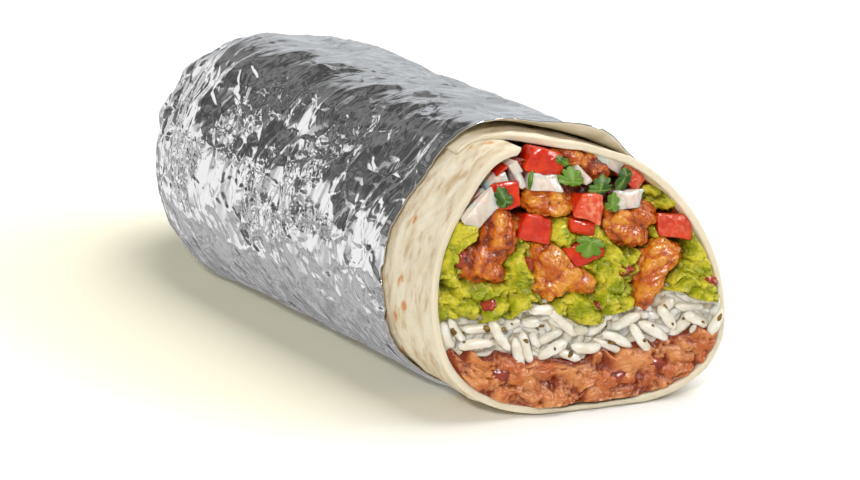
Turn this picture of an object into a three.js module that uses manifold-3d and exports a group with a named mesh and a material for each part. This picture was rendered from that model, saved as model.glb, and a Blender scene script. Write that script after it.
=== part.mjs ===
// A burrito wrapped in aluminium foil and cut open at one end. Millimetres, +Z up, standing on z = 0.
// The roll lies along Y: its cut end faces -Y and its closed end, inside the foil, faces +Y.
// A flour tortilla is rolled once round four fillings, which run through the roll. From the bottom up they
// are refried beans, rice, guacamole, and chicken with salsa. The pieces that show at the cut are solids
// of their own.
import * as THREE from "three";
import { ConvexGeometry } from "three/addons/geometries/ConvexGeometry.js";
import { mergeVertices } from "three/addons/utils/BufferGeometryUtils.js";
import Module from "manifold-3d";

const wasm = await Module();
wasm.setup();

const { clamp, lerp, smoothstep, degToRad, radToDeg } = THREE.MathUtils;

// ---------------------------------------------------------------- driving dimensions
const HALF_WIDTH = 37.6; // of the roll
const HEIGHT = 64.7;
const WAIST = 24.9; // height at which the roll is widest
const TOP_POWER = 1.95; // superellipse powers of the section, above and below the waist
const BASE_POWER = 2.65;
const PRESSED = 0.9; // how far the round base is pressed flat by the roll's weight
const REAR_Y = 182.3; // the closed end, measured from where the cut crosses the axis at waist height
const REAR_LENGTH = 58.6; // over which the roll rounds off to that end
const REAR_POWER = 1.67;
const REAR_HEIGHT = 30.6; // height of the closed end's tip
const SWELL = 0.02; // the roll is this share fatter at its closed end than at the cut
const BEND = -8.9; // sideways sweep of the closed end

const CUT_TURN = degToRad(-13.5); // the cut is turned about Z from square
const CUT_LEAN = degToRad(14.2); // and leans back at the top

const GAP = 0.3; // between solids that touch
const SHEET = 2; // thickness of the tortilla
const EDGE = 0.9; // its thickness at the inner and outer edges of the roll
const INNER_EDGE_DEG = 105; // where the tortilla starts, under the lap
const OUTER_EDGE_DEG = 479; // where it ends, after a turn and a short lap
const LAP_END_DEG = 138; // where the inner turn comes back to the outside of the roll
const LAP_SET_BACK = 12; // how far the outer edge's corner is torn back from the cut
const LAP = { deg: 112, reach: 28, height: 3 }; // where and how far the double sheet stands out
const FILLING_END_Y = 162; // behind it the folded end of the tortilla is solid
const FOIL = 0.6; // thickness of the foil without its creases
const CRUMPLE = 0.7; // height of the creases

// ---------------------------------------------------------------- small helpers
const range = (count) => Array.from({ length: count }, (_, i) => i);
const bump = (value, centre, reach) => 1 - smoothstep(Math.abs(value - centre), 0, reach);
const turnDeg = (angle) => ((radToDeg(angle) % 360) + 360) % 360;

/** A repeatable stream of numbers from 0 to 1. */
function randomStream(seed) {
  let state = seed;
  return () => {
    state = (state * 1664525 + 1013904223) % 4294967296;
    return state / 4294967296;
  };
}

/** Smooth noise from -1 to 1, one lump for each unit of space. */
function noise(x, y, z) {
  const hash = (i, j, k) => {
    const value = Math.sin(i * 127.1 + j * 311.7 + k * 74.7) * 43758.5453;
    return (value - Math.floor(value)) * 2 - 1;
  };
  const [i, j, k] = [x, y, z].map(Math.floor);
  const [fx, fy, fz] = [x - i, y - j, z - k].map((f) => f * f * (3 - 2 * f));
  const row = (dj, dk) => lerp(hash(i, j + dj, k + dk), hash(i + 1, j + dj, k + dk), fx);
  return lerp(lerp(row(0, 0), row(1, 0), fy), lerp(row(0, 1), row(1, 1), fy), fz);
}

/** Creases from -1 to 1: sharp ridges where noise changes sign. */
const creases = (x, y, z) => 1 - 2 * Math.abs(noise(x, y, z));

// ---------------------------------------------------------------- the roll's form
/** Y of the cut plane at a place in the section. */
const cutY = (x, z) => x * Math.tan(CUT_TURN) + (z - WAIST) * Math.tan(CUT_LEAN);

/** The section's outline at full girth, inset by some millimetres. */
function outline(angle, inset) {
  const [c, s] = [Math.cos(angle), Math.sin(angle)];
  const power = s > 0 ? TOP_POWER : BASE_POWER;
  const reach = (Math.abs(c) ** power + Math.abs(s) ** power) ** (-1 / power);
  const grown = LAP.height * bump(turnDeg(angle), LAP.deg, LAP.reach) - inset;
  const rise = (s > 0 ? HEIGHT - WAIST : WAIST + PRESSED) + grown;
  return { x: (HALF_WIDTH + grown) * reach * c, z: WAIST + rise * reach * s };
}

const ROUNDED_FROM_Y = REAR_Y - REAR_LENGTH;

/** Share of the full section that is left at y, for a surface with this inset. */
function girth(y, inset) {
  const into = clamp((y - ROUNDED_FROM_Y) / (REAR_LENGTH - inset), 0, 1);
  return (1 - into ** REAR_POWER) ** (1 / REAR_POWER) * (1 + SWELL * clamp(y / REAR_Y, 0, 1));
}

/** A point of the section carried to y, with the roll's girth and bend there, and kept above floor. */
function along(point, y, inset, floor = inset) {
  const share = girth(y, inset);
  const x = point.x * share + BEND * (Math.max(y, 0) / REAR_Y) ** 2;
  return new THREE.Vector3(x, y, Math.max(point.z * share + REAR_HEIGHT * (1 - share), floor));
}

/** Y at a share of the rounded end, spaced evenly round its curve, for a surface with this inset. */
function rearY(share, inset) {
  return ROUNDED_FROM_Y + Math.sin((share * Math.PI) / 2) ** (2 / REAR_POWER) * (REAR_LENGTH - inset);
}

/** How far behind the cut the foil's ragged edge lies: a wide band of tortilla is bare on the left. */
function foilBand(angle) {
  const ragged = 0.8 * noise(3 * Math.cos(angle), 3 * Math.sin(angle), 0);
  return 14 + 9 * Math.cos(angle - degToRad(200)) + ragged - 6 * bump(turnDeg(angle), 74, 24);
}

/** Y of the foil's edge. */
function foilEdgeY(angle) {
  const { x, z } = outline(angle, 0);
  return cutY(x, z) + foilBand(angle);
}

// How far the tortilla lies in from the roll's outside, where it is bare and where the foil holds it.
const BARE = 0.5;
const HELD = FOIL + 2 * GAP;

function squeeze(angle, y) {
  const edge = foilEdgeY(angle);
  return lerp(BARE, HELD, smoothstep(y, edge - 4.5, edge - 0.5));
}

// ---------------------------------------------------------------- making solids
/** A manifold solid from points and triangles. */
function solid(points, triangles) {
  const vertProperties = new Float32Array(points.flatMap((p) => [p.x, p.y, p.z]));
  const triVerts = new Uint32Array(triangles.flat());
  return new wasm.Manifold(new wasm.Mesh({ numProp: 3, vertProperties, triVerts }));
}

/** A geometry's points and triangles, with shared corners joined. */
function cornersOf(geometry) {
  const bare = geometry.clone().deleteAttribute("normal").deleteAttribute("uv");
  const { index, attributes } = mergeVertices(bare, 1e-4);
  const { position } = attributes;
  return {
    points: range(position.count).map((i) => new THREE.Vector3().fromBufferAttribute(position, i)),
    triangles: range(index.count / 3).map((i) => Array.from(index.array.slice(3 * i, 3 * i + 3))),
  };
}

/** The three.js geometry of a manifold solid. */
function geometryOf(made) {
  const { vertProperties, triVerts } = made.getMesh();
  const geometry = new THREE.BufferGeometry();
  geometry.setAttribute("position", new THREE.BufferAttribute(new Float32Array(vertProperties), 3));
  geometry.setIndex(new THREE.BufferAttribute(new Uint32Array(triVerts), 1));
  geometry.computeVertexNormals();
  return geometry;
}

/** Triangles between two rings of point numbers, the second one behind the first. */
function wall(near, far) {
  return near.flatMap((n, i) => {
    const next = (i + 1) % near.length;
    return [
      [near[next], n, far[i]],
      [near[next], far[i], far[next]],
    ];
  });
}

/** Triangles from a ring of point numbers to one point: the front of a solid, or its back. */
function fan(ring, centre, isFront) {
  return ring.map((n, i) => {
    const next = ring[(i + 1) % ring.length];
    return isFront ? [n, next, centre] : [next, n, centre];
  });
}

/** A solid whose skin passes through rings of points, front to back, with each end closed at its middle. */
function loft(rings) {
  const points = rings.flat();
  const count = rings[0].length;
  const numbers = rings.map((_, r) => range(count).map((i) => r * count + i));
  const triangles = numbers.slice(1).flatMap((far, r) => wall(numbers[r], far));
  const middle = (ring) => ring.reduce((sum, p) => sum.add(p), new THREE.Vector3()).divideScalar(count);
  triangles.push(...fan(numbers[0], points.push(middle(rings[0])) - 1, true));
  triangles.push(...fan(numbers.at(-1), points.push(middle(rings.at(-1))) - 1, false));
  return solid(points, triangles);
}

/** The largest of the parts that a cut leaves. */
function largest(made) {
  const parts = made.decompose();
  return parts.reduce((best, part) => (part.volume() > best.volume() ? part : best));
}

// ---------------------------------------------------------------- tortilla
/** Thickness of the sheet at an angle along its roll. */
function sheetThickness(deg) {
  const inner = lerp(EDGE, SHEET, smoothstep(deg, INNER_EDGE_DEG, INNER_EDGE_DEG + 14));
  return lerp(inner, EDGE, smoothstep(deg, OUTER_EDGE_DEG - 25, OUTER_EDGE_DEG));
}

/** Inset of the sheet's outer face: under the lap it lies below the turn that covers it. */
function sheetInset(deg) {
  const covered = sheetThickness(Math.min(deg, OUTER_EDGE_DEG - 360) + 360) + 1.3 * GAP;
  return covered * (1 - smoothstep(deg, OUTER_EDGE_DEG - 360, LAP_END_DEG));
}

/** The tortilla. Grown, it serves to cut the pieces that lie against it. */
function tortilla(grown = 0) {
  const lap = [105, 107, 109, 112, 115, 119, 124, 131];
  const turn = range(28).map((i) => LAP_END_DEG + i * 11.5);
  const degrees = [...lap, ...turn, 457, 463, 468, 472, 476, 479];
  const faces = [
    ...degrees.map((deg) => ({ deg, inset: sheetInset(deg) - grown })),
    ...degrees.toReversed().map((deg) => ({ deg, inset: sheetInset(deg) + sheetThickness(deg) + grown })),
  ];
  const stations = ({ deg, inset }) => {
    const { x, z } = outline(degToRad(deg), inset);
    const front = cutY(x, z) + LAP_SET_BACK * smoothstep(deg, 446, 476) - grown;
    const bare = Math.max(foilEdgeY(degToRad(deg)) - 4.5, front + 0.8);
    const wrapped = [bare + 4, Math.max(bare + 4, 50), 90];
    return [front, lerp(front, bare, 0.5), bare, ...wrapped, ROUNDED_FROM_Y, 146, FILLING_END_Y + 1];
  };
  const rings = range(9).map((r) =>
    faces.map((face) => {
      const angle = degToRad(face.deg);
      const y = stations(face)[r];
      const held = face.inset + squeeze(angle, y);
      return along(outline(angle, held), y, held);
    }),
  );
  const numbers = rings.map((ring, r) => ring.map((_, i) => r * faces.length + i));
  const triangles = numbers.slice(1).flatMap((far, r) => wall(numbers[r], far));
  for (const i of range(degrees.length - 1)) {
    const quad = (ring) => [i, i + 1, faces.length - 2 - i, faces.length - 1 - i].map((n) => ring[n]);
    const [a, b, c, d] = quad(numbers[0]);
    const [e, f, g, h] = quad(numbers.at(-1));
    triangles.push([a, b, d], [b, c, d], [f, e, h], [g, f, h]);
  }
  return solid(rings.flat(), triangles).add(foldedEnd());
}

/** The tortilla's end, folded in behind the filling. */
function foldedEnd() {
  const angles = range(24).map((i) => degToRad(i * 15));
  const ring = (y, inset) => angles.map((angle) => along(outline(angle, inset), y, inset));
  const rounded = [0.56, 0.66, 0.76, 0.86, 0.95].map((share) => rearY(share, HELD + 0.1));
  return loft([ring(FILLING_END_Y, HELD + 1), ...rounded.map((y) => ring(y, HELD + 0.1))]);
}

// ---------------------------------------------------------------- foil
/** How far the foil stands off the tortilla where its edge curls up, at the top. */
function curl(angle, y) {
  const near = 1 - clamp((y - foilEdgeY(angle)) / 16, 0, 1);
  return 3.6 * bump(turnDeg(angle), 76, 20) * near ** 2;
}

/** The foil's relief from 0 to 1: short and long creases, and pleats gathered at the closed end. */
function crumple(angle, y) {
  const [x, z] = [Math.cos(angle), Math.sin(angle)];
  const creased = 0.55 * creases(x * 3.1, y / 9, z * 3.1) + 0.45 * creases(x * 1.3 + 7, y / 34, z * 1.3);
  const pleated = 2 * Math.abs(Math.sin(angle * 6.5 + 1.7 * noise(x * 2, y / 20, z * 2))) - 1;
  return 0.5 + 0.5 * lerp(creased, pleated, 0.8 * smoothstep(y, REAR_Y - REAR_LENGTH * 0.8, REAR_Y - 4));
}

/** The foil, pressed flat underneath. */
function foil() {
  const angles = range(36).map((i) => ((i + 0.5) / 36) * 2 * Math.PI);
  const rounded = [0.16, 0.31, 0.46, 0.6, 0.74, 0.87, 0.97];
  const rings = (straight, floor, insetAt) => [
    ...straight.map((share) =>
      angles.map((angle) => {
        const y = lerp(foilEdgeY(angle), ROUNDED_FROM_Y, share);
        const inset = insetAt(angle, y);
        return along(outline(angle, inset - curl(angle, y)), y, inset, floor);
      }),
    ),
    ...rounded.map((share) =>
      angles.map((angle) => {
        const inset = insetAt(angle, rearY(share, 0));
        return along(outline(angle, inset), rearY(share, inset), inset, floor);
      }),
    ),
  ];
  const outer = rings([0, 0.035, 0.08, 0.16, 0.27, 0.39, 0.52, 0.64, 0.76, 0.88, 1], 0, (angle, y) => {
    const rising = smoothstep(y, foilEdgeY(angle), foilEdgeY(angle) + 3);
    return 0.1 - CRUMPLE * crumple(angle, y) * rising;
  });
  const inner = rings([0, 0.035, 0.08, 0.16, 0.5, 1], FOIL, () => FOIL);
  const points = [...outer, ...inner].flat();
  const ring = (r) => angles.map((_, i) => r * angles.length + i);
  const outside = range(outer.length).map(ring);
  const inside = range(inner.length).map((r) => ring(outer.length + r));
  const tip = (inset) => points.push(along({ x: 0, z: REAR_HEIGHT }, REAR_Y - inset, 0)) - 1;
  const reversed = (triangles) => triangles.map((t) => t.toReversed());
  return solid(points, [
    ...outside.slice(1).flatMap((far, r) => wall(outside[r], far)),
    ...fan(outside.at(-1), tip(0), false),
    ...reversed(wall(outside[0], inside[0])),
    ...reversed(inside.slice(1).flatMap((far, r) => wall(inside[r], far))),
    ...reversed(fan(inside.at(-1), tip(FOIL), false)),
  ]);
}

// ---------------------------------------------------------------- fillings
/** Inset of the fillings: the sheet, what the foil holds it in by, and its second turn under the lap. */
function fillingInset(angle) {
  const deg = turnDeg(angle);
  const held = lerp(HELD, BARE, smoothstep(foilBand(angle), 10, 20));
  const lapped = 2.4 * smoothstep(deg, 90, 100) * (1 - smoothstep(deg, 122, 142));
  return SHEET + 0.4 + held + lapped;
}

/** A point of the fillings' outline. */
const wallPoint = (angle) => outline(angle, fillingInset(angle));

/** Angle at which the fillings' outline has this height, on the left (-1) or the right (1). */
function angleAt(z, side) {
  const turned = (angle) => (side > 0 ? angle : Math.PI - angle);
  let [low, high] = [-Math.PI / 2, Math.PI / 2];
  for (const _ of range(30)) {
    const middle = (low + high) / 2;
    if (wallPoint(turned(middle)).z < z) low = middle;
    else high = middle;
  }
  return turned(low);
}

// Heights of the boundaries between the fillings, across the roll.
const riceBase = (x) => 13.4 + 4.4 * (x / 35) ** 2;
const riceTop = (x) =>
  24.2 + 2.6 * bump(x, -11, 7) - 4.2 * bump(x, 3, 13) + 1.6 * bump(x, 23, 7) - 2 * bump(x, 37, 8);
const guacamoleTop = (x) => 45.5 - 0.1 * x;

/** A boundary, shifted up or down, as a curve from the left wall to the right one. */
function boundary(height, shift) {
  const [left, right] = [-1, 1].map((side) => {
    const near = angleAt(height(side * 33), side);
    return angleAt(height(wallPoint(near).x) + shift, side);
  });
  const [start, end] = [left, right].map(wallPoint);
  const at = (share) => {
    const x = lerp(start.x, end.x, share);
    const settled = Math.min(1, 8 * share * (1 - share));
    return { x, z: lerp(lerp(start.z, end.z, share), height(x) + shift, settled) };
  };
  return { left, right, at };
}

/** A part of the fillings' outline as a curve. */
const arc = (from, to) => (share) => wallPoint(lerp(from, to, share));

/** A place between four curves that meet at their ends (a Coons patch). */
function patch(base, top, left, right) {
  const mix = (p, q, share) => ({ x: lerp(p.x, q.x, share), z: lerp(p.z, q.z, share) });
  return (s, t) => {
    const across = mix(base(s), top(s), t);
    const up = mix(left(t), right(t), s);
    const corners = mix(mix(base(0), base(1), s), mix(top(0), top(1), s), t);
    return { x: across.x + up.x - corners.x, z: across.z + up.z - corners.z };
  };
}

/** How far the fillings have sunk behind the cut: most at the upper right. */
const recess = (x, z) => 0.8 + 3 * smoothstep(x, 4, 24) * smoothstep(z, 36, 52);

/** A place in a filling's section carried behind the cut, where the roll is held in a little more. */
function filled(point, y, behind) {
  const tight = smoothstep(behind, 0, 9);
  const shrunk = { x: point.x * (1 - 0.035 * tight), z: lerp(point.z, WAIST, 0.035 * tight) };
  return along(shrunk, y, SHEET + HELD + 0.4, SHEET + 0.4 + lerp(BARE, HELD, tight));
}

/**
 * A filling that runs through the roll between two boundaries; without one it reaches the tortilla.
 * Its front is a grid, and relief(x, z) is how far each place stands out.
 * Grown, it serves to cut its neighbours.
 */
function filling({ base, top, across, up, relief, edge = -0.3 }, grown = 0) {
  const shift = GAP / 2 - grown;
  const low = base && boundary(base, shift);
  const high = top && boundary(top, -shift);
  const left = { from: low ? low.left : high.left + 0.35, to: high ? high.left : low.left - 0.35 };
  const right = { from: low ? low.right : high.right - 0.35, to: high ? high.right : low.right + 0.35 };
  const place = patch(
    low ? low.at : arc(left.from, right.from + 2 * Math.PI),
    high ? high.at : arc(left.to, right.to),
    arc(left.from, left.to),
    arc(right.from, right.to),
  );
  const grid = range(up + 1).flatMap((j) => range(across + 1).map((i) => place(i / across, j / up)));
  const number = (i, j) => j * (across + 1) + i;
  const rim = [
    ...range(across).map((i) => number(i, 0)),
    ...range(up).map((j) => number(across, j)),
    ...range(across).map((i) => number(across - i, up)),
    ...range(up).map((j) => number(0, up - j)),
  ];
  const onRim = new Set(rim);
  const points = grid.map((p, n) => {
    const out = Math.min(relief(p.x, p.z), onRim.has(n) ? edge : Infinity);
    return filled(p, cutY(p.x, p.z) + recess(p.x, p.z) - out - grown, 0);
  });
  const front = range(up).flatMap((j) =>
    range(across).flatMap((i) => {
      const [a, b, c, d] = [number(i, j), number(i + 1, j), number(i + 1, j + 1), number(i, j + 1)];
      return (i + j) % 2 ? [[a, b, c], [a, c, d]] : [[a, b, d], [b, c, d]];
    }),
  );
  const stations = [
    (front) => front + 10,
    ...[ROUNDED_FROM_Y, 146, FILLING_END_Y - 0.6].map((y) => () => y),
  ];
  const behind = stations.map((station) =>
    rim.map((n) => points.push(filled(grid[n], station(cutY(grid[n].x, grid[n].z)), 10)) - 1),
  );
  const rings = [rim, ...behind];
  const walls = rings.slice(1).flatMap((next, r) => wall(rings[r], next));
  const end = points.push(filled(place(0.5, 0.5), FILLING_END_Y - 0.6, 10)) - 1;
  return solid(points, [...front, ...walls, ...fan(rings.at(-1), end, false)]);
}

// Mounds in the guacamole's front: x, z, reach and height.
const MOUNDS = [
  [-26, 46, 5.5, 2.6],
  [-31, 38, 6, 1.8],
  [-29, 29.5, 6.5, 3],
  [-21, 28, 5, 1.8],
  [-14.5, 34, 5, 3],
  [-14, 27.5, 5, 2.6],
  [-3, 42, 4.5, 2.4],
  [0, 24.5, 6.5, 3],
  [9, 24.5, 5.5, 2.6],
  [11, 33, 6, 2.2],
  [9, 40, 4, 1.5],
  [32.5, 34, 4.5, 2],
  [30, 26, 6.5, 2.6],
];

function guacamoleRelief(x, z) {
  const heights = MOUNDS.map(([mx, mz, reach, height]) => {
    return height * bump(Math.hypot(x - mx, z - mz), 0, reach);
  });
  return Math.max(...heights) - 0.6 + 0.9 * noise(x / 3, 5, z / 3);
}

const beansRelief = (x, z) => 0.8 + 1.2 * noise(x / 4.5, 1, z / 3.5);
const chickenRelief = (x, z) => -8 + 0.6 * noise(x / 4, 9, z / 4);

const LAYERS = {
  beans: { top: riceBase, across: 14, up: 4, relief: beansRelief, edge: 0.5 },
  rice: { base: riceBase, top: riceTop, across: 14, up: 1, relief: () => -0.6 },
  guacamole: { base: riceTop, top: guacamoleTop, across: 14, up: 5, relief: guacamoleRelief },
  chicken: { base: guacamoleTop, across: 14, up: 3, relief: chickenRelief },
};

// ---------------------------------------------------------------- pieces at the cut
/** A place near the cut: u and v from a piece's middle in its own turned axes, w out from the fillings. */
function place({ x, z, turn }, u, v, w) {
  const [c, s] = [Math.cos(degToRad(turn)), Math.sin(degToRad(turn))];
  const [px, pz] = [x + u * c - v * s, z + u * s + v * c];
  return new THREE.Vector3(px, cutY(px, pz) + recess(x, z) - w, pz);
}

/** A row of a table of pieces. */
const piece = ([x, z, length, width, depth, turn, out]) => ({ x, z, length, width, depth, turn, out });

/** Distance from a place to where a line leaves a rounded knob; 0 if the line misses it. */
function exitDistance(knob, from, direction, grown) {
  const [c, s] = [Math.cos(degToRad(knob.turn)), Math.sin(degToRad(knob.turn))];
  const local = (x, y, z) =>
    new THREE.Vector3(
      (x * c + y * s) / (knob.length + grown),
      (y * c - x * s) / (knob.width + grown),
      z / (knob.depth + grown),
    );
  const start = local(from.x - knob.x, from.z - knob.z, from.w - (knob.out - knob.depth));
  const step = local(direction.x, direction.y, direction.z);
  const [a, b, k] = [step.dot(step), start.dot(step), start.dot(start) - 1];
  const root = b * b - a * k;
  return root > 0 ? Math.max(0, (Math.sqrt(root) - b) / a) : 0;
}

/** An uneven chunk: one skin round the rounded knobs that rows of a table give. */
function chunk(rows, grown = 0, detail = 2, rough = 0.08) {
  const knobs = rows.map(piece);
  const weights = knobs.map(({ length, width }) => length * width);
  const total = weights.reduce((sum, weight) => sum + weight);
  const mean = (pick) => knobs.reduce((sum, knob, i) => sum + (pick(knob) * weights[i]) / total, 0);
  const middle = { x: mean((k) => k.x), z: mean((k) => k.z), w: mean((k) => k.out - k.depth) };
  const { points, triangles } = cornersOf(new THREE.IcosahedronGeometry(1, detail));
  const skin = points.map((d) => {
    const reaches = knobs.map((knob) => exitDistance(knob, middle, d, grown));
    const uneven = 1 + rough * noise(d.x * 2.3 + middle.x, d.y * 2.3 + middle.z, d.z * 2.3);
    const reach = uneven * reaches.reduce((sum, t) => sum + t ** 8, 0) ** (1 / 8);
    return place({ x: middle.x, z: middle.z, turn: 0 }, d.x * reach, d.y * reach, middle.w + d.z * reach);
  });
  return solid(skin, triangles);
}

/** A dice cut with a knife: a box with uneven corners, each bevelled. */
function dice(row, grown = 0) {
  const spec = piece(row);
  const random = randomStream(Math.round(1000 + 37 * spec.x + 11 * spec.z));
  const corners = range(8).flatMap((n) => {
    const sign = [n & 1 ? 1 : -1, n & 2 ? 1 : -1, n & 4 ? 1 : -1];
    const halves = [spec.length, spec.width, spec.depth];
    const size = halves.map((half) => half * (0.86 + 0.22 * random()) + grown);
    return range(3).map((bevelled) => {
      const [u, v, w] = size.map((half, k) => sign[k] * (k === bevelled ? half - 0.8 : half));
      return place(spec, u, v, w + spec.out - spec.depth);
    });
  });
  const { points, triangles } = cornersOf(new ConvexGeometry(corners));
  return solid(points, triangles);
}

/** A thin wavy leaf or shred. Grown, it reaches out past whatever lies in front of it. */
function leaf([x, z, length, width, turn, lobes, out], grown = 0) {
  const spokes = 10;
  const face = (shift) => [
    place({ x, z, turn }, 0, 0, out + shift),
    ...[0.55, 1].flatMap((share) =>
      range(spokes).map((i) => {
        const angle = (i / spokes) * 2 * Math.PI;
        const reach = share * (1 + 0.24 * Math.cos(lobes * angle));
        const u = (length + grown) * reach * Math.cos(angle);
        const v = (width + grown) * reach * Math.sin(angle);
        const wave = 0.25 * Math.sin(1.6 * u + x) - 0.3 * share ** 2;
        return place({ x, z, turn }, u, v, out + shift + wave);
      }),
    ),
  ];
  const rings = [1, 1 + spokes].map((start) => range(spokes).map((i) => start + i));
  const skin = [...fan(rings[0], 0, true), ...wall(rings[0], rings[1])];
  const count = 1 + 2 * spokes;
  const back = skin.map((t) => t.map((n) => n + count).toReversed());
  const edge = wall(rings[1], rings[1].map((n) => n + count));
  return solid([...face(0.25 + 8 * grown), ...face(-0.25 - grown)], [...skin, ...back, ...edge]);
}

/** A grain of cooked rice. */
function grain(spec, length, radius) {
  const sides = 4;
  const ring = (u, r) => range(sides).map((i) => {
    const angle = (-i / sides) * 2 * Math.PI;
    return place(spec, u, r * Math.cos(angle), spec.out - radius + r * Math.sin(angle));
  });
  const rings = [[-0.62, 0.8], [0, 1], [0.62, 0.82]].map(([u, r]) => ring(u * length, r * radius));
  const points = [...rings.flat(), ...[-1, 1].map((end) => place(spec, end * length, 0, spec.out - radius))];
  const numbers = rings.map((_, r) => range(sides).map((i) => sides * r + i));
  const skin = [
    ...numbers.slice(1).flatMap((far, r) => wall(numbers[r], far)),
    ...fan(numbers[0], 3 * sides, true),
    ...fan(numbers[2], 3 * sides + 1, false),
  ];
  return solid(points, skin);
}

/** Grains in three staggered rows along the rice's front, each turned and set forward by a seeded draw. */
function grains() {
  const random = randomStream(20);
  const columns = 8;
  return [0.14, 0.5, 0.86].flatMap((level, row) =>
    range(columns).map((column) => {
      const x = lerp(-34, 34, (column + 0.3 + 0.4 * ((row + 1) % 2) + 0.2 * random()) / columns);
      const z = lerp(riceBase(x) + 0.6, riceTop(x) - 1, level) + 1.2 * (random() - 0.5);
      const turn = (row === 1 ? 75 : 26) * (2 * random() - 1);
      const out = 0.7 + 1.1 * random() - 0.2 * row;
      return grain({ x, z, turn, out }, 3.5 + random(), 1.15 + 0.2 * random());
    }),
  );
}

// Tables of pieces: x, z, half length, half width, half depth, turn in degrees, how far its face stands out.
const CHICKEN = [
  [
    [-17.8, 44, 7.4, 4.9, 4, 72, 2.2],
    [-23, 38, 7, 4.4, 4, 25, 1.6],
    [-19.8, 35, 3.6, 2.6, 4, -30, 1.6],
  ],
  [
    [-5, 34.5, 7, 5.2, 4, -50, 2],
    [0.8, 30.8, 5, 3.2, 4, -35, 2],
    [-6.8, 30.2, 4, 3.6, 4, 20, 1.4],
  ],
  [[-3.6, 49.8, 6.8, 3.7, 4, -6, 1.2]],
  [
    [14.6, 42.2, 7, 4.9, 4, -30, 2],
    [19.8, 44.6, 4, 3.3, 4, 0, 1.6],
  ],
  [
    [22.8, 34.4, 5.8, 4.2, 4, 18, 2.2],
    [19, 29.4, 6.2, 4.1, 4, 62, 2.2],
    [16.8, 25.2, 3.6, 2.7, 4, 60, 1.8],
  ],
  [
    [3.4, 60.2, 3.9, 2.6, 4, -22, 0.8],
    [9, 56.8, 5.2, 3, 4, -48, 0.8],
  ],
];
const TOMATO = [
  [-3.9, 60.1, 4.8, 3.7, 3.5, -24, 1],
  [-15.2, 59.6, 2.3, 1.3, 3, 32, 0.4],
  [-15.2, 53, 4.6, 3.7, 3.5, -6, 1.2],
  [-8.9, 44.6, 3.9, 3.6, 3.5, -18, 1.4],
  [5, 48.5, 3.5, 3.7, 3.5, -16, 2.2],
  [2.7, 43.6, 3.5, 1.8, 3.5, -14, 0.6],
  [3.4, 37.6, 4.8, 2.6, 3.5, 10, 1],
  [26.6, 41.4, 4.4, 3.2, 3.5, -14, 1.2],
  [18.6, 53.6, 3.3, 2.3, 3.5, -42, 0.6],
];
const ONION = [
  [-22.6, 51.1, 5.6, 2.9, 3, 32, 1.4],
  [-17.2, 57, 3.8, 1.4, 3, 4, 0.6],
  [-12, 60, 2.9, 1.5, 3, -62, 0.6],
  [-5.4, 55.1, 3.9, 2.4, 3, -8, 1.4],
  [4.7, 55.7, 2.7, 1.3, 3, -50, 1],
  [12.9, 58.2, 4.5, 1.9, 3, -38, 0.4],
  [15.9, 48.7, 3.9, 2.6, 3, -8, 1.4],
  [-10.7, 56.4, 2.9, 1.4, 3, -76, 0.8],
];
const WHOLE_BEANS = [
  [-22.8, 11.2, 4.4, 2.4, 3, -8, 2.2],
  [6.6, 7.6, 3.4, 2.2, 3, 18, 2.2],
  [17, 9.6, 3, 2, 3, -20, 2.2],
];
const GUACAMOLE_DAB = [25.6, 48.2, 5, 3.2, 4.5, -36, 1.4];
// Bits of tomato in the guacamole: x, z, half length, half width, turn.
const BITS = [
  [-28.8, 39.2, 2, 1.3, 60],
  [-12.2, 35.6, 2.4, 1.3, 70],
  [-22.4, 27.6, 1.8, 1.4, 20],
  [4.6, 24.4, 1.7, 1.1, 0],
  [12.5, 32.8, 1.8, 1.5, 10],
  [32.4, 28, 2.1, 1.9, 0],
];
// Leaves: x, z, half length, half width, turn in degrees, lobes, how far it stands out.
const CILANTRO = [
  [-16.5, 52.8, 2.4, 2.1, -70, 3, 2.3],
  [-0.9, 60.3, 1.9, 0.9, -30, 2, 2],
  [-9.1, 56.2, 2, 0.7, 76, 2, 1.9],
  [1.3, 55.7, 3.2, 2.1, -15, 5, 2],
  [8.3, 53, 3.3, 1.9, 20, 5, 2],
  [15.6, 54, 3.2, 1.6, 52, 2, 1.6],
  [10.7, 48.8, 2.4, 1.7, 70, 4, 2.2],
  [3.2, 39.8, 3.9, 2.5, -10, 5, 2.6],
];

/** The space that pieces may reach: at the rim they can lie in front of the tortilla, but not past it. */
function reachOfPieces() {
  const ring = (y) => range(48).map((i) => {
    const { x, z } = outline(degToRad(i * 7.5), 1.4);
    return new THREE.Vector3(x, y, z);
  });
  return loft([ring(-40), ring(60)]);
}

// ---------------------------------------------------------------- build
const FINISH = {
  foil: { color: 0xb4b6ba, roughness: 0.3, metalness: 1 },
  tortilla: { color: 0xe8dcc4, roughness: 0.75, metalness: 0 },
  beans: { color: 0xc0785a, roughness: 0.45, metalness: 0 },
  wholeBean: { color: 0x9a3c28, roughness: 0.4, metalness: 0 },
  rice: { color: 0xecebe2, roughness: 0.4, metalness: 0 },
  guacamole: { color: 0xaab428, roughness: 0.35, metalness: 0 },
  chicken: { color: 0xb9662c, roughness: 0.4, metalness: 0 },
  tomato: { color: 0xd2301c, roughness: 0.25, metalness: 0 },
  onion: { color: 0xe6d6c8, roughness: 0.3, metalness: 0 },
  cilantro: { color: 0x4f7018, roughness: 0.5, metalness: 0 },
};

const burrito = new THREE.Group();
burrito.name = "burrito";

function add(name, finish, made) {
  const mesh = new THREE.Mesh(geometryOf(made), new THREE.MeshStandardMaterial(FINISH[finish]));
  mesh.name = name;
  burrito.add(mesh);
}

const bounds = reachOfPieces();
let taken = tortilla(GAP); // the tortilla and the pieces made so far, all grown
let sockets = null; // the same without the tortilla, to cut the fillings

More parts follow.
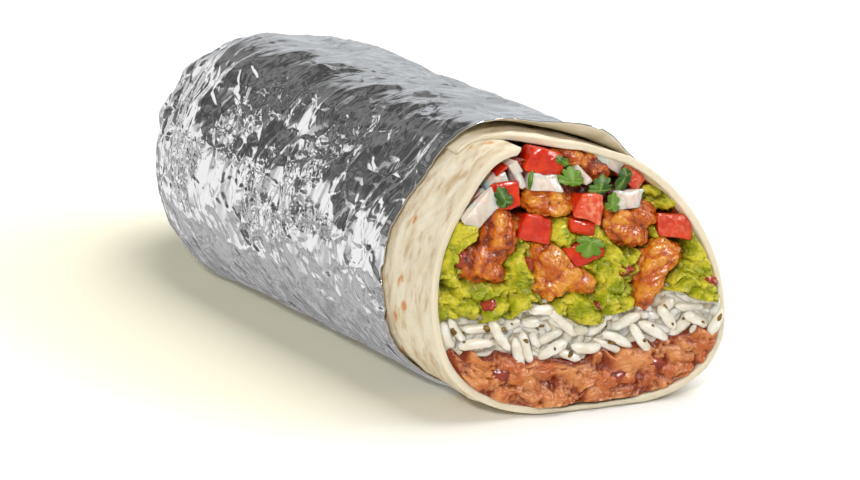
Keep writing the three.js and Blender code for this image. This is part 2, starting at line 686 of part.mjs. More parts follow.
/** Make a piece, cut clear of what is taken. */
function addPiece(name, finish, make) {
  add(name, finish, largest(make(0).intersect(bounds).subtract(taken)));
  taken = taken.add(make(GAP));
  sockets = sockets ? sockets.add(make(GAP)) : make(GAP);
}

CILANTRO.forEach((row, i) => addPiece(`cilantro_${i + 1}`, "cilantro", (grown) => leaf(row, grown)));
ONION.forEach((row, i) => addPiece(`onion_${i + 1}`, "onion", (grown) => dice(row, grown)));
TOMATO.forEach((row, i) => addPiece(`tomato_${i + 1}`, "tomato", (grown) => dice(row, grown)));
CHICKEN.forEach((rows, i) => {
  const detail = i === 2 || i === 5 ? 1 : 2;
  addPiece(`chicken_${i + 1}`, "chicken", (grown) => chunk(rows, grown, detail));
});
WHOLE_BEANS.forEach((row, i) => addPiece(`bean_${i + 1}`, "wholeBean", (grown) => chunk([row], grown, 1)));
addPiece("guacamole_dab", "guacamole", (grown) => chunk([GUACAMOLE_DAB], grown, 1, 0.2));

const bits = BITS.map(([x, z, length, width, turn]) =>
  chunk([[x, z, length, width, 1.6, turn, guacamoleRelief(x, z) + 0.8]], 0, 0),
);
const grownLayers = [LAYERS.beans, LAYERS.guacamole].map((layer) => filling(layer, GAP - 0.05));
const clear = grownLayers.reduce((all, one) => all.add(one), taken);
const loose = grains().reduce((all, one) => all.add(one)).subtract(clear);

const guacamole = bits.reduce((all, one) => all.add(one), filling(LAYERS.guacamole));

add("foil", "foil", foil());
add("tortilla", "tortilla", tortilla());
add("refried_beans", "beans", largest(filling(LAYERS.beans).subtract(sockets)));
add("rice", "rice", largest(filling(LAYERS.rice).subtract(sockets).add(loose)));
add("guacamole", "guacamole", largest(guacamole.subtract(sockets)));
add("chicken_filling", "chicken", largest(filling(LAYERS.chicken).subtract(sockets)));

const box = new THREE.Box3().setFromObject(burrito);
const middle = box.getCenter(new THREE.Vector3());
for (const mesh of burrito.children) mesh.geometry.translate(-middle.x, -middle.y, 0);

export default burrito;
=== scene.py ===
"""Dresses a burrito, wrapped in foil and cut open at one end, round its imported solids.

Shapes are worked out in millimetres in the roll's own frame: the roll lies along Y with its cut end facing
-Y, y is 0 where the cut crosses the axis at waist height, and z is 0 on the table. RollFrame carries them
to the part's frame, in metres.
"""

import logging
import math
from collections.abc import Callable, Iterable
from dataclasses import dataclass, field
from enum import Enum

import bmesh
import bpy
import numpy as np
from mathutils import Matrix, Vector


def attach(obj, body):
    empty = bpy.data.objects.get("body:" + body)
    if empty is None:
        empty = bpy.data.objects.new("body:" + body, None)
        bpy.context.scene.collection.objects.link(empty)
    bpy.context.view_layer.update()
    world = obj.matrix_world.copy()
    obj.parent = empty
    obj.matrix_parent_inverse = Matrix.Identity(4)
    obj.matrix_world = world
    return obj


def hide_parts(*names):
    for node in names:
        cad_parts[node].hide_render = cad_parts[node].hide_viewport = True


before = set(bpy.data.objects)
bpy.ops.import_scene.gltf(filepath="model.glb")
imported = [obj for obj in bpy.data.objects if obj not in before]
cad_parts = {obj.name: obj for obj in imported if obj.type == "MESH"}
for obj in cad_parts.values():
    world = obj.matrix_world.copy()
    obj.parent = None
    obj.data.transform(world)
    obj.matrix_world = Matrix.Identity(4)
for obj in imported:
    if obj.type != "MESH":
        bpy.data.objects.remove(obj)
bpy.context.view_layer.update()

log = logging.getLogger("burrito")
Array = np.ndarray
Number = float | Array
Material = bpy.types.Material
Piece = bpy.types.Object
Socket = bpy.types.NodeSocket


# ---------------------------------------------------------------- arrays and noise
def smoothstep(value: Number, low: Number, high: Number) -> Number:
    """Rises smoothly from 0 at low to 1 at high."""
    t = np.clip((value - low) / (high - low), 0, 1)
    return t * t * (3 - 2 * t)


def bump(value: Number, centre: Number, reach: Number) -> Number:
    """1 at the centre, falling smoothly to 0 at that reach from it."""
    return 1 - smoothstep(np.abs(value - centre), 0, reach)


def lerp(low: Number, high: Number, share: Number) -> Number:
    """The value at a share of the way from low to high."""
    return low + (high - low) * share


def lattice(i: Number, j: Number, k: Number) -> Array:
    """A fixed draw from -1 to 1 for each whole place: the fraction of a large multiple of a sine."""
    value = np.sin(i * 127.1 + j * 311.7 + k * 74.7) * 43758.5453
    return (value - np.floor(value)) * 2 - 1


def noise(x: Number, y: Number, z: Number) -> Array:
    """Smooth noise from -1 to 1: draws at whole places, blended between them by smooth weights."""
    places = [np.floor(v) for v in (x, y, z)]
    i, j, k = places
    fx, fy, fz = [smoothstep(v - p, 0, 1) for v, p in zip((x, y, z), places)]
    total = np.zeros(np.broadcast(fx, fy, fz).shape)
    for dk in (0, 1):
        for dj in (0, 1):
            row = lerp(lattice(i, j + dj, k + dk), lattice(i + 1, j + dj, k + dk), fx)
            total = total + row * (fy if dj else 1 - fy) * (fz if dk else 1 - fz)
    return total


def fractal(x: Number, y: Number, z: Number) -> Array:
    """Noise added at three scales, each half as large and half as high as the one before."""
    return sum(noise(x * 2**n, y * 2**n, z * 2**n + 9 * n) / 2**n for n in range(3))


def creases(x: Number, y: Number, z: Number) -> Array:
    """Creases from -1 to 1: sharp ridges where noise changes sign."""
    return 1 - 2 * np.abs(noise(x, y, z))


def facets(x: Array, y: Array, z: Array) -> Array:
    """Flat facets with sharp folds between them, from -1 to 1.

    Each unit cube is split into six tetrahedra by the order of a place's fractions, and the draws at a
    tetrahedron's corners are blended linearly, so the result is flat within it and folded at its faces.
    """
    place = np.stack(np.broadcast_arrays(x, y, z))
    corner = np.floor(place)
    part = place - corner
    order = np.argsort(-part, axis=0)
    ranked = np.concatenate([np.take_along_axis(part, order, axis=0), np.zeros((1, *part.shape[1:]))])
    axes = np.arange(3).reshape(3, *[1] * (part.ndim - 1))
    total = lattice(*corner) * (1 - ranked[0])
    for step in range(3):
        corner = corner + (order[step] == axes)
        total = total + lattice(*corner) * (ranked[step] - ranked[step + 1])
    return total


def lumps(u: Array, v: Array, seed: float = 0.0, size: float = 0.72) -> Array:
    """Rounded lumps from 0 to 1: the highest of the balls that stand in a place's own and eight nearest
    squares of a unit grid, each ball shifted and sized by a fixed draw."""
    i, j = np.floor(u), np.floor(v)
    best = np.zeros(np.broadcast(u, v).shape)
    for di in (-1, 0, 1):
        for dj in (-1, 0, 1):
            shift_u, shift_v, grow = [lattice(i + di, j + dj, seed + n) for n in (0, 7, 13)]
            near = (u - i - di - 0.5 - 0.42 * shift_u) ** 2 + (v - j - dj - 0.5 - 0.42 * shift_v) ** 2
            best = np.maximum(best, 1 - near / (size * (1 + 0.35 * grow)) ** 2)
    return np.sqrt(best)


def turned_by(a: Number, b: Number, angle: Number) -> tuple[Number, Number]:
    """A pair turned back by an angle in radians: along and across a piece that lies at that angle."""
    c, s = np.cos(angle), np.sin(angle)
    return a * c + b * s, b * c - a * s


def linear(red: int, green: int, blue: int) -> tuple[float, float, float, float]:
    """A colour given as it looks on screen, 0 to 255, as linear light."""
    shares = [v / 255 for v in (red, green, blue)]
    return (*[s / 12.92 if s <= 0.04045 else ((s + 0.055) / 1.055) ** 2.4 for s in shares], 1.0)


# ---------------------------------------------------------------- the roll
@dataclass(frozen=True)
class Roll:
    """The form that the wrap and the fillings are worked out from, in millimetres and degrees."""

    half_width: float = 37.6
    height: float = 64.7
    waist: float = 24.9
    top_power: float = 1.95
    base_power: float = 2.65
    pressed: float = 0.9
    rear_y: float = 182.3
    rear_length: float = 58.6
    rear_power: float = 1.67
    rear_height: float = 30.6
    swell: float = 0.02
    bend: float = -8.9
    cut_turn: float = math.radians(-13.5)
    cut_lean: float = math.radians(14.2)
    lap_deg: float = 112
    lap_reach: float = 28
    lap_height: float = 3
    lap_depth: float = 2.4
    gap: float = 0.3
    foil: float = 0.6
    bare: float = 0.5
    sheet: float = 2.0
    clear: float = 0.4
    band: float = 14
    band_swing: float = 9
    band_widest_deg: float = 200
    flap_deg: float = 74
    flap_reach: float = 6
    squeezed_over: float = 4.5
    recessed: float = 0.8
    sunk: float = 3
    bulge: float = 2.1

    @property
    def held(self) -> float:
        """How far the foil holds the tortilla in from the roll's outside."""
        return self.foil + 2 * self.gap

    @property
    def rounded_from(self) -> float:
        """Y from which the closed end rounds off."""
        return self.rear_y - self.rear_length

    def cut_y(self, x: Number, z: Number) -> Number:
        """Y of the cut plane at a place in the section."""
        return x * math.tan(self.cut_turn) + (z - self.waist) * math.tan(self.cut_lean)

    def outline(self, angle: Array, inset: Number) -> tuple[Array, Array]:
        """The section's outline at full girth: two half superellipses that meet at the waist, swollen at
        the lap, and moved in by the inset.

        Args:
            angle: angles round the section, in radians.
            inset: how far in from the outside.

        Returns:
            x and z of the outline.
        """
        c, s = np.cos(angle), np.sin(angle)
        power = np.where(s > 0, self.top_power, self.base_power)
        reach = (np.abs(c) ** power + np.abs(s) ** power) ** (-1 / power)
        swollen = self.lap_height * bump(np.degrees(angle) % 360, self.lap_deg, self.lap_reach)
        rise = np.where(s > 0, self.height - self.waist, self.waist + self.pressed)
        grown = swollen - inset
        return (self.half_width + grown) * reach * c, self.waist + (rise + grown) * reach * s

    def girth(self, y: Array, inset: Number) -> Array:
        """Share of the full section left at y: a superellipse round the closed end, times the swell."""
        into = np.clip((y - self.rounded_from) / (self.rear_length - inset), 0, 1)
        swell = 1 + self.swell * np.clip(y / self.rear_y, 0, 1)
        return (1 - into**self.rear_power) ** (1 / self.rear_power) * swell

    def along(self, section: tuple[Array, Array], y: Array, inset: Number, floor: Number) -> Array:
        """Places of the section carried to y, with the roll's girth and bend there.

        Args:
            section: x and z in the section.
            y: distances along the roll.
            inset: inset of the surface that the places lie on.
            floor: height that nothing goes below.

        Returns:
            points, the last axis being x, y and z.
        """
        share = self.girth(y, inset)
        x = section[0] * share + self.bend * (np.maximum(y, 0) / self.rear_y) ** 2
        z = np.maximum(section[1] * share + self.rear_height * (1 - share), floor)
        return np.stack(np.broadcast_arrays(x, y, z), axis=-1)

    def rear(self, share: Array, inset: Number) -> Array:
        """Y at a share of the rounded end, spaced evenly round its curve."""
        into = np.sin(share * np.pi / 2) ** (2 / self.rear_power)
        return self.rounded_from + into * (self.rear_length - inset)

    def foil_band(self, angle: Array) -> Array:
        """How far behind the cut the foil's ragged edge lies: least at the right and at the flap, most at
        the left."""
        ragged = 0.8 * noise(3 * np.cos(angle), 3 * np.sin(angle), 0.0)
        swing = self.band_swing * np.cos(angle - math.radians(self.band_widest_deg))
        flap = self.flap_reach * bump(np.degrees(angle) % 360, self.flap_deg, 24)
        return self.band + swing + ragged - flap

    def foil_edge(self, angle: Array) -> Array:
        """Y of the foil's edge."""
        return self.cut_y(*self.outline(angle, 0.0)) + self.foil_band(angle)

    def squeeze(self, angle: Array, y: Array) -> Array:
        """How far the tortilla lies in: a little where it is bare, and clear of the foil under it."""
        edge = self.foil_edge(angle)
        return lerp(self.bare, self.held, smoothstep(y, edge - self.squeezed_over, edge - 0.5))

    def lapped(self, angle: Array, start: float, full: float) -> Array:
        """How far in the sheet's second turn lies under the lap.

        Args:
            angle: angles round the section, in radians.
            start: where the second turn starts, in degrees.
            full: where it lies fully in, in degrees.

        Returns:
            the depth at each angle.
        """
        deg = np.degrees(angle) % 360
        return self.lap_depth * smoothstep(deg, start, full) * (1 - smoothstep(deg, 122, 142))

    def held_in(self, x: Array, z: Array) -> tuple[Array, Array]:
        """Places of the section, with those past the sheet's inner face pressed in to it.

        A place's share of the way from the middle to the sheet is left alone nearly up to the sheet, and
        from there nears 1 as a hyperbolic tangent.
        """
        rise = np.where(z > self.waist, self.height - self.waist, self.waist + self.pressed) - self.sheet
        angle = np.arctan2((z - self.waist) / rise, x / (self.half_width - self.sheet))
        wall_x, wall_z = self.outline(angle, self.sheet + self.clear + self.lapped(angle, 100, 107))
        share = np.hypot(x, z - self.waist) / np.hypot(wall_x, wall_z - self.waist)
        free, rest = 0.97, 0.03
        kept = np.where(share < free, share, free + rest * np.tanh((share - free) / rest))
        pressed = kept / np.maximum(share, 1e-6)
        return x * pressed, self.waist + (z - self.waist) * pressed

    def recess(self, x: Number, z: Number) -> Number:
        """How far the fillings have sunk behind the cut: most at the upper right. At the right they bulge."""
        sunk = self.sunk * smoothstep(x, 4, 24) * smoothstep(z, 36, 52)
        return self.recessed + sunk - self.bulge * smoothstep(x, 20, 33) * bump(z, 24, 22)


class RollFrame:
    """Carries points from the roll's frame to the part's, which is the box's centre at table height."""

    def __init__(self, roll: Roll) -> None:
        """Finds the shift from the foil's rearmost point, which is the roll's closed tip."""
        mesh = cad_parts["foil"].data
        points = np.empty(len(mesh.vertices) * 3, np.float32)
        mesh.vertices.foreach_get("co", points)
        places = points.reshape(-1, 3)
        tip = places[places[:, 1].argmax()] * 1000
        self.shift = np.array([roll.bend - tip[0], roll.rear_y - tip[1], 0.0])

    def to_part(self, points: Array) -> Array:
        """Points in millimetres in the roll's frame, as metres in the part's."""
        return (np.asarray(points) - self.shift) * 0.001


ROLL = Roll()
ROLL_FRAME = RollFrame(ROLL)


# ---------------------------------------------------------------- skins and pieces
@dataclass
class Skin:
    """Points with the quads and triangles between them, and values kept with each point."""

    points: Array
    quads: Array = field(default_factory=lambda: np.empty((0, 4), int))
    triangles: Array = field(default_factory=lambda: np.empty((0, 3), int))
    values: dict[str, Array] = field(default_factory=dict)
    quad_finish: Array | None = None

    def joined(self, other: "Skin") -> "Skin":
        """This skin and another as one, with the values that both have."""
        count = len(self.points)
        return Skin(
            np.concatenate([self.points, other.points]),
            np.concatenate([self.quads, other.quads + count]),
            np.concatenate([self.triangles, other.triangles + count]),
            {n: np.concatenate([v, other.values[n]]) for n, v in self.values.items() if n in other.values},
        )


def strip(near: Array, far: Array) -> Array:
    """Quads between two closed rings of point numbers, the second one behind the first."""
    return np.stack([np.roll(near, -1), near, far, np.roll(far, -1)], axis=-1)


def tube(rings: Array) -> Array:
    """Quads along closed rings of point numbers, front to back."""
    return np.concatenate([strip(near, far) for near, far in zip(rings[:-1], rings[1:])])


def fan(ring: Array, centre: int, front: bool) -> Array:
    """Triangles from a closed ring of point numbers to one point."""
    ends = (ring, np.roll(ring, -1)) if front else (np.roll(ring, -1), ring)
    return np.stack([*ends, np.full(len(ring), centre)], axis=-1)


def sheet_quads(numbers: Array) -> Array:
    """Quads over a grid of point numbers whose rows go up and whose columns go right, facing -Y."""
    a, b, c, d = numbers[:-1, :-1], numbers[:-1, 1:], numbers[1:, 1:], numbers[1:, :-1]
    return np.stack([a, b, c, d], axis=-1).reshape(-1, 4)


def repeat_skin(points: Array, quads: Array, triangles: Array) -> Skin:
    """One skin of many like shapes.

    Args:
        points: shape by point by coordinate.
        quads: the quads of one shape.
        triangles: the triangles of one shape.

    Returns:
        the joined skin.
    """
    count, size = points.shape[:2]
    starts = (np.arange(count) * size)[:, None, None]
    return Skin(
        points.reshape(-1, 3),
        (quads[None] + starts).reshape(-1, 4),
        (triangles[None] + starts).reshape(-1, 3),
    )


def ball(detail: int) -> tuple[Array, Array]:
    """Directions and triangles of an evenly split ball."""
    shape = bmesh.new()
    bmesh.ops.create_icosphere(shape, subdivisions=detail, radius=1)
    points = np.array([v.co for v in shape.verts])
    triangles = np.array([[v.index for v in f.verts] for f in shape.faces])
    shape.free()
    return points, triangles


def in_scene(name: str, data: bpy.types.ID) -> Piece:
    """A new object in the scene."""
    made = bpy.data.objects.new(name, data)
    bpy.context.scene.collection.objects.link(made)
    return made


def make_piece(
    name: str,
    skin: Skin,
    finishes: Iterable[Material],
    replaces: Iterable[str] = (),
) -> Piece:
    """Puts a skin into a mesh object that rides on the part.

    Args:
        name: the piece's name.
        skin: its skin, in millimetres in the roll's frame.
        finishes: its materials.
        replaces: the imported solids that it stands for.

    Returns:
        the object.
    """
    mesh = bpy.data.meshes.new(name)
    loops = np.concatenate([skin.quads.ravel(), skin.triangles.ravel()])
    sizes = np.concatenate([np.full(len(skin.quads), 4), np.full(len(skin.triangles), 3)])
    mesh.vertices.add(len(skin.points))
    mesh.vertices.foreach_set("co", ROLL_FRAME.to_part(skin.points).astype(np.float32).ravel())
    mesh.loops.add(len(loops))
    mesh.loops.foreach_set("vertex_index", loops.astype(np.int32))
    mesh.polygons.add(len(sizes))
    mesh.polygons.foreach_set("loop_start", (np.cumsum(sizes) - sizes).astype(np.int32))
    mesh.polygons.foreach_set("use_smooth", np.ones(len(sizes), bool))
    for finish in finishes:
        mesh.materials.append(finish)
    if skin.quad_finish is not None:
        kinds = np.concatenate([skin.quad_finish, np.zeros(len(skin.triangles), int)])
        mesh.polygons.foreach_set("material_index", kinds.astype(np.int32))
    for value_name, value in skin.values.items():
        layer = mesh.attributes.new(value_name, "FLOAT", "POINT")
        layer.data.foreach_set("value", np.asarray(value, np.float32).ravel())
    mesh.update(calc_edges=True)
    mesh.validate()
    piece = in_scene(name, mesh)
    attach(piece, "root")
    if replaces:
        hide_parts(*replaces)
    log.info("%s: %d points, %d faces", name, len(skin.points), len(sizes))
    return piece


# ---------------------------------------------------------------- shader expressions
def math_operator(operation: str, swapped: bool = False) -> Callable:
    """Makes an operator of Value.

    Args:
        operation: the Math node's operation.
        swapped: whether the other number comes first.

    Returns:
        the operator, which adds one Math node on the value and another number.
    """

    def operate(value: "Value", other: "Value | float") -> "Value":
        """The Math node's result."""
        pair = {0: other, 1: value} if swapped else {0: value, 1: other}
        node = value.graph.node("ShaderNodeMath", {"operation": operation}, pair)
        return Value(value.graph, node.outputs[0])

    return operate


class Value:
    """A number that varies over a surface: a node's output whose arithmetic adds Math nodes."""

    __add__, __radd__ = math_operator("ADD"), math_operator("ADD", swapped=True)
    __sub__, __rsub__ = math_operator("SUBTRACT"), math_operator("SUBTRACT", swapped=True)
    __mul__, __rmul__ = math_operator("MULTIPLY"), math_operator("MULTIPLY", swapped=True)

    def __init__(self, graph: "Graph", socket: Socket) -> None:
        """Wraps an output of a graph's node."""
        self.graph = graph
        self.socket = socket

    def rise(self, low: float, high: float) -> "Value":
        """From 0 at low to 1 at high, smoothly; high may be the smaller."""
        node = self.graph.node(
            "ShaderNodeMapRange",
            {"interpolation_type": "SMOOTHSTEP"},
            {"Value": self, "From Min": low, "From Max": high},
        )
        return Value(self.graph, node.outputs[0])


class Graph:
    """A node tree that expressions are built in."""

    def __init__(self, owner: Material | bpy.types.World) -> None:
        """Empties the tree of a material or a world."""
        owner.use_nodes = True
        self.tree = owner.node_tree
        self.tree.nodes.clear()

    def node(
        self, kind: str, settings: dict[str, object] | None = None, sockets: dict | None = None
    ) -> bpy.types.Node:
        """Adds a node.

        Args:
            kind: the node's type.
            settings: its own settings, set first.
            sockets: values of its inputs, or what feeds them.

        Returns:
            the node.
        """
        made = self.tree.nodes.new(kind)
        for name, value in (settings or {}).items():
            setattr(made, name, value)
        for name, value in (sockets or {}).items():
            source = value.socket if isinstance(value, Value) else value
            if isinstance(source, Socket):
                self.tree.links.new(source, made.inputs[name])
            else:
                made.inputs[name].default_value = source
        return made

    def vector(self, operation: str, first: object, second: object = None) -> bpy.types.NodeOutputs:
        """Outputs of one Vector Math node: a vector, then a number."""
        sockets = {0: first} if second is None else {0: first, 1: second}
        return self.node("ShaderNodeVectorMath", {"operation": operation}, sockets).outputs

    def mixed(self, share: Value | float, first: object, second: object) -> Socket:
        """A colour between two, each one a colour or a socket."""
        return self.node("ShaderNodeMix", {"data_type": "RGBA"}, {0: share, 6: first, 7: second}).outputs[2]

    def blend(self, share: Value, first: Value | float, second: Value | float) -> Value:
        """A number between two."""
        return Value(self, self.node("ShaderNodeMix", None, {0: share, 2: first, 3: second}).outputs[0])


class Surface(Graph):
    """A material's graph round one Principled surface."""

    def __init__(self, name: str, **constants: float | tuple[float, ...]) -> None:
        """Makes the material.

        Args:
            name: the material's name.
            constants: values of the surface's sockets, with _ for a space in a socket's name.
        """
        self.material = bpy.data.materials.new(name)
        super().__init__(self.material)
        self.surface = self.node("ShaderNodeBsdfPrincipled")
        self.node("ShaderNodeOutputMaterial", None, {"Surface": self.surface.outputs[0]})
        self.places = self.node("ShaderNodeTexCoord").outputs["Object"]
        for socket, value in constants.items():
            self.surface.inputs[socket.replace("_", " ")].default_value = value

    @classmethod
    def food(
        cls,
        name: str,
        glow: float,
        reach: tuple,
        depth: float,
        shine: float = 0.5,
        coat: float = 0.0,
        film: float = 0.03,
    ) -> "Surface":
        """Makes the material of moist food, which light sinks into.

        Args:
            name: the material's name.
            glow: share of the light that sinks in.
            reach: how far red, green and blue go in, as shares of the depth.
            depth: the depth, in millimetres.
            shine: how strongly the surface mirrors.
            coat: share of it under a film of juice.
            film: the film's roughness.

        Returns:
            the surface.
        """
        return cls(
            name,
            Subsurface_Weight=glow,
            Subsurface_Radius=reach,
            Subsurface_Scale=depth / 1000,
            Specular_IOR_Level=shine,
            Coat_Weight=coat,
            Coat_Roughness=film,
        )

    def feed(self, socket: str, source: Value | Socket) -> None:
        """Links what varies to one of the surface's sockets."""
        source = source.socket if isinstance(source, Value) else source
        self.tree.links.new(source, self.surface.inputs[socket])

    def stretched(self, scale: tuple, shift: tuple = (0.0, 0.0, 0.0)) -> Socket:
        """Object places, stretched to draw a pattern out along one way, then shifted."""
        settings = {"Vector": self.places, "Scale": scale, "Location": shift}
        return self.node("ShaderNodeMapping", None, settings).outputs[0]

    def unrolled(self, first: Value, second: Value) -> Socket:
        """Places made of two values, for a pattern that follows the surface."""
        return self.node("ShaderNodeCombineXYZ", None, {0: first, 1: second}).outputs[0]

    def noise(self, size: float, detail: float = 2.0, places: Socket | None = None) -> Value:
        """Noise from 0 to 1 with lumps of this size in millimetres."""
        sockets = {"Vector": places or self.places, "Scale": 1000 / size, "Detail": detail}
        return Value(self, self.node("ShaderNodeTexNoise", None, sockets).outputs[0])

    def cells(self, size: float, feature: str = "F1", places: Socket | None = None) -> Value:
        """Distance in cells of this size in millimetres, to a cell's middle or to its edge."""
        sockets = {"Vector": places or self.places, "Scale": 1000 / size}
        cell = self.node("ShaderNodeTexVoronoi", {"feature": feature}, sockets)
        return Value(self, cell.outputs["Distance"])

    def tilted(self, size: float, places: Socket) -> Value:
        """Flat facets of this size in millimetres, each tilted its own way, in millimetres of height.

        Within a cell the height is the way from the cell's middle, measured along that cell's own direction,
        and it falls to nothing in a narrow seam round the cell.
        """
        cell = self.node("ShaderNodeTexVoronoi", None, {"Vector": places, "Scale": 1000 / size}).outputs
        away = self.vector("SUBTRACT", places, cell["Position"])[0]
        way = self.vector("SUBTRACT", cell["Color"], (0.5, 0.5, 0.5))[0]
        height = Value(self, self.vector("DOT_PRODUCT", away, way)[1])
        return height * 1000 * self.cells(size, "DISTANCE_TO_EDGE", places).rise(0.0, 0.2)

    def kept(self, name: str) -> Value:
        """A value kept with the mesh's points."""
        return Value(self, self.node("ShaderNodeAttribute", {"attribute_name": name}).outputs["Fac"])

    def raised(self, height: Value, depth: float) -> None:
        """Shades the surface as if raised by a height of 1 to this depth in millimetres."""
        sockets = {"Height": height, "Distance": depth / 1000, "Strength": 1.0}
        self.feed("Normal", self.node("ShaderNodeBump", None, sockets).outputs[0])


# ---------------------------------------------------------------- finishes
@dataclass(frozen=True)
class FoilFinish:
    """Bright foil, broken into small tilted flats where it is crumpled, with a dull pale lining."""

    metal: tuple = (0.88, 0.885, 0.9, 1.0)
    lining: tuple = linear(226, 216, 194)
    shaded: tuple = linear(208, 196, 170)

    def outer(self) -> Material:
        """The bright outer face: tilted flats of three sizes, the smallest where the foil is busy and the
        widest at the closed end too, a ripple along the sweep of the folds, and a duller calm top."""
        shader = Surface("foil_outer", Metallic=1.0, Base_Color=self.metal)
        arc, swept, busy = shader.kept("arc"), shader.kept("swept"), shader.kept("busy")
        wide = shader.tilted(7.0, shader.places) * (busy * 0.42 + shader.kept("end") * 0.6 + 0.1)
        middle = shader.tilted(3.4, shader.unrolled(arc * 0.74, swept)) * (busy * 0.62 + 0.04)
        fine = shader.tilted(1.7, shader.places) * busy * busy * 0.55
        ripple = shader.noise(4.5, 1.0, shader.unrolled(arc * 0.6, swept))
        shader.raised(wide + middle + fine + ripple * 0.2, 1.0)
        shader.feed("Roughness", shader.blend(shader.kept("calm"), 0.12, 0.2))
        return shader.material

    def inner(self) -> Material:
        """The dull lining."""
        shader = Surface("foil_lining", Roughness=0.6)
        tint = shader.noise(6.0).rise(0.3, 0.7)
        shader.feed("Base Color", shader.mixed(tint, self.lining, self.shaded))
        shader.raised(shader.noise(1.2), 0.08)
        return shader.material


@dataclass(frozen=True)
class TortillaFinish:
    """Steamed flour tortilla: cream, mottled tan, with a few toasted spots and a paler cut rim."""

    cream: tuple = linear(222, 208, 179)
    tan: tuple = linear(192, 158, 110)
    pale: tuple = linear(234, 224, 201)
    toasted: tuple = linear(208, 128, 44)
    rim: tuple = linear(228, 216, 190)
    oiled: tuple = linear(230, 208, 152)

    def material(self) -> Material:
        """The tortilla's material."""
        shader = Surface.food("tortilla", 0.25, (1.0, 0.75, 0.45), 2, shine=0.35)
        shader.surface.inputs["Roughness"].default_value = 0.6
        streaks = shader.stretched((0.4, 1.0, 0.4))
        mottled = shader.noise(1.9, 5.0, streaks).rise(0.42, 0.68) * shader.noise(10.0, 3.0).rise(0.36, 0.6)
        outer = shader.mixed(shader.noise(3.4, 5.0, streaks).rise(0.4, 0.66), self.pale, self.cream)
        outer = shader.mixed(mottled * 0.75, outer, self.tan)
        uneven = shader.cells(7.0, places=shader.stretched((0.7, 1.0, 0.7)))
        uneven = uneven + (shader.noise(1.2, 3.0) - 0.5) * 0.2
        spots = uneven.rise(0.2, 0.1) * shader.noise(8.0).rise(0.36, 0.46)
        outer = shader.mixed(spots * 0.85, outer, self.toasted)
        inner = shader.mixed(shader.noise(4.0, 3.0).rise(0.35, 0.7), self.rim, self.oiled)
        faced = shader.mixed(shader.kept("inside"), outer, inner)
        shader.feed("Base Color", shader.mixed(shader.kept("rim"), faced, self.rim))
        shader.raised(shader.noise(2.2, 4.0) + shader.noise(0.7, 2.0) * 0.4, 0.3)
        return shader.material


@dataclass(frozen=True)
class MashFinish:
    """Moist food whose colour follows its lumps: painted shade in the hollows, two colours of its own on the
    lumps.
    """

    name: str
    hollow_shade: tuple
    lump: tuple
    tint: tuple
    tint_size: float
    roughness: float
    grain: float
    glow: float = 0.2
    depth: float = 0.4

    def material(self) -> Material:
        """The material, which reads the height kept with the mesh's points and paints shade into the hollows
        by it.
        """
        shader = Surface.food(self.name, self.glow, (1.0, 0.7, 0.3), 1.2, shine=0.6)
        tinted = shader.noise(self.tint_size, 5.0).rise(0.38, 0.64)
        lump = shader.mixed(tinted, self.lump, self.tint)
        height = shader.kept("height") + (shader.noise(1.1, 2.0) - 0.5) * 0.6
        # painted shade: where the relief is low the colour turns to the darker hollow colour
        shader.feed("Base Color", shader.mixed(height.rise(0.0, 0.75), self.hollow_shade, lump))
        shader.feed("Roughness", shader.noise(1.6, 2.0) * 0.3 + (self.roughness - 0.15))
        shader.raised(shader.noise(self.grain, 3.0) + shader.noise(2.2, 3.0) * 1.8, self.depth)
        return shader.material


@dataclass(frozen=True)
class ChickenFinish:
    """Grilled chicken in its juices: tan meat under an orange-brown glaze, charred in specks, with painted
    shade in its hollows.
    """

    meat: tuple = linear(226, 148, 40)
    glaze: tuple = linear(196, 89, 0)
    deep_glaze_and_shade: tuple = linear(126, 43, 0)
    char: tuple = linear(44, 18, 8)

    def material(self) -> Material:
        """The material, which reads how browned a piece is from its tone, and paints shade where its height
        is low.
        """
        shader = Surface.food("chicken", 0.06, (1.0, 0.45, 0.2), 1.2, shine=0.6, coat=0.4, film=0.05)
        mottled = (shader.noise(2.4, 6.0) - 0.5) * 1.9
        # painted shade: low relief in the height value pulls the colour toward the deepest brown; the tone
        # and mottling are the meat's own browning
        light = shader.kept("height") * 0.7 + mottled + 0.56 - shader.kept("tone")
        colour = shader.mixed(light.rise(-0.2, 0.3), self.deep_glaze_and_shade, self.glaze)
        colour = shader.mixed(light.rise(0.25, 0.9), colour, self.meat)
        specks = shader.cells(1.5).rise(0.26, 0.1) * shader.noise(2.6, 3.0).rise(0.5, 0.58)
        shader.feed("Base Color", shader.mixed(specks * 0.8, colour, self.char))
        shader.feed("Roughness", shader.noise(1.3, 2.0).rise(0.3, 0.7) * 0.2 + 0.2)
        shader.raised(shader.noise(0.8, 2.0) * 0.9 + shader.noise(1.9, 3.0) * 1.2, 0.6)
        return shader.material


@dataclass(frozen=True)
class WetFinish:
    """Fresh wet vegetable: skin that drifts to a shade, and flesh with veins where the points say so."""

    name: str
    skin: tuple
    shade: tuple
    flesh: tuple
    vein: tuple
    glow: float
    roughness: float = 0.1
    vein_way: tuple = (1.0, 1.0, 1.0)

    def material(self) -> Material:
        """The vegetable's material."""
        shader = Surface.food(self.name, self.glow, (1.0, 0.45, 0.3), 3, coat=0.45, film=0.04)
        drift = shader.noise(5.0, 3.0)
        veins = shader.noise(1.4, 4.0, shader.stretched(self.vein_way)).rise(0.4, 0.74)
        flesh = shader.mixed(veins, self.flesh, self.vein)
        skin = shader.mixed(drift.rise(0.35, 0.65), self.skin, self.shade)
        shader.feed("Base Color", shader.mixed(shader.kept("flesh"), skin, flesh))
        shader.feed("Roughness", shader.kept("flesh") * 0.1 + shader.noise(2.0) * 0.1 + self.roughness)
        shader.raised(shader.noise(1.0, 3.0) * (shader.kept("flesh") * 0.6 + 0.4) + drift * 1.6, 0.36)
        return shader.material


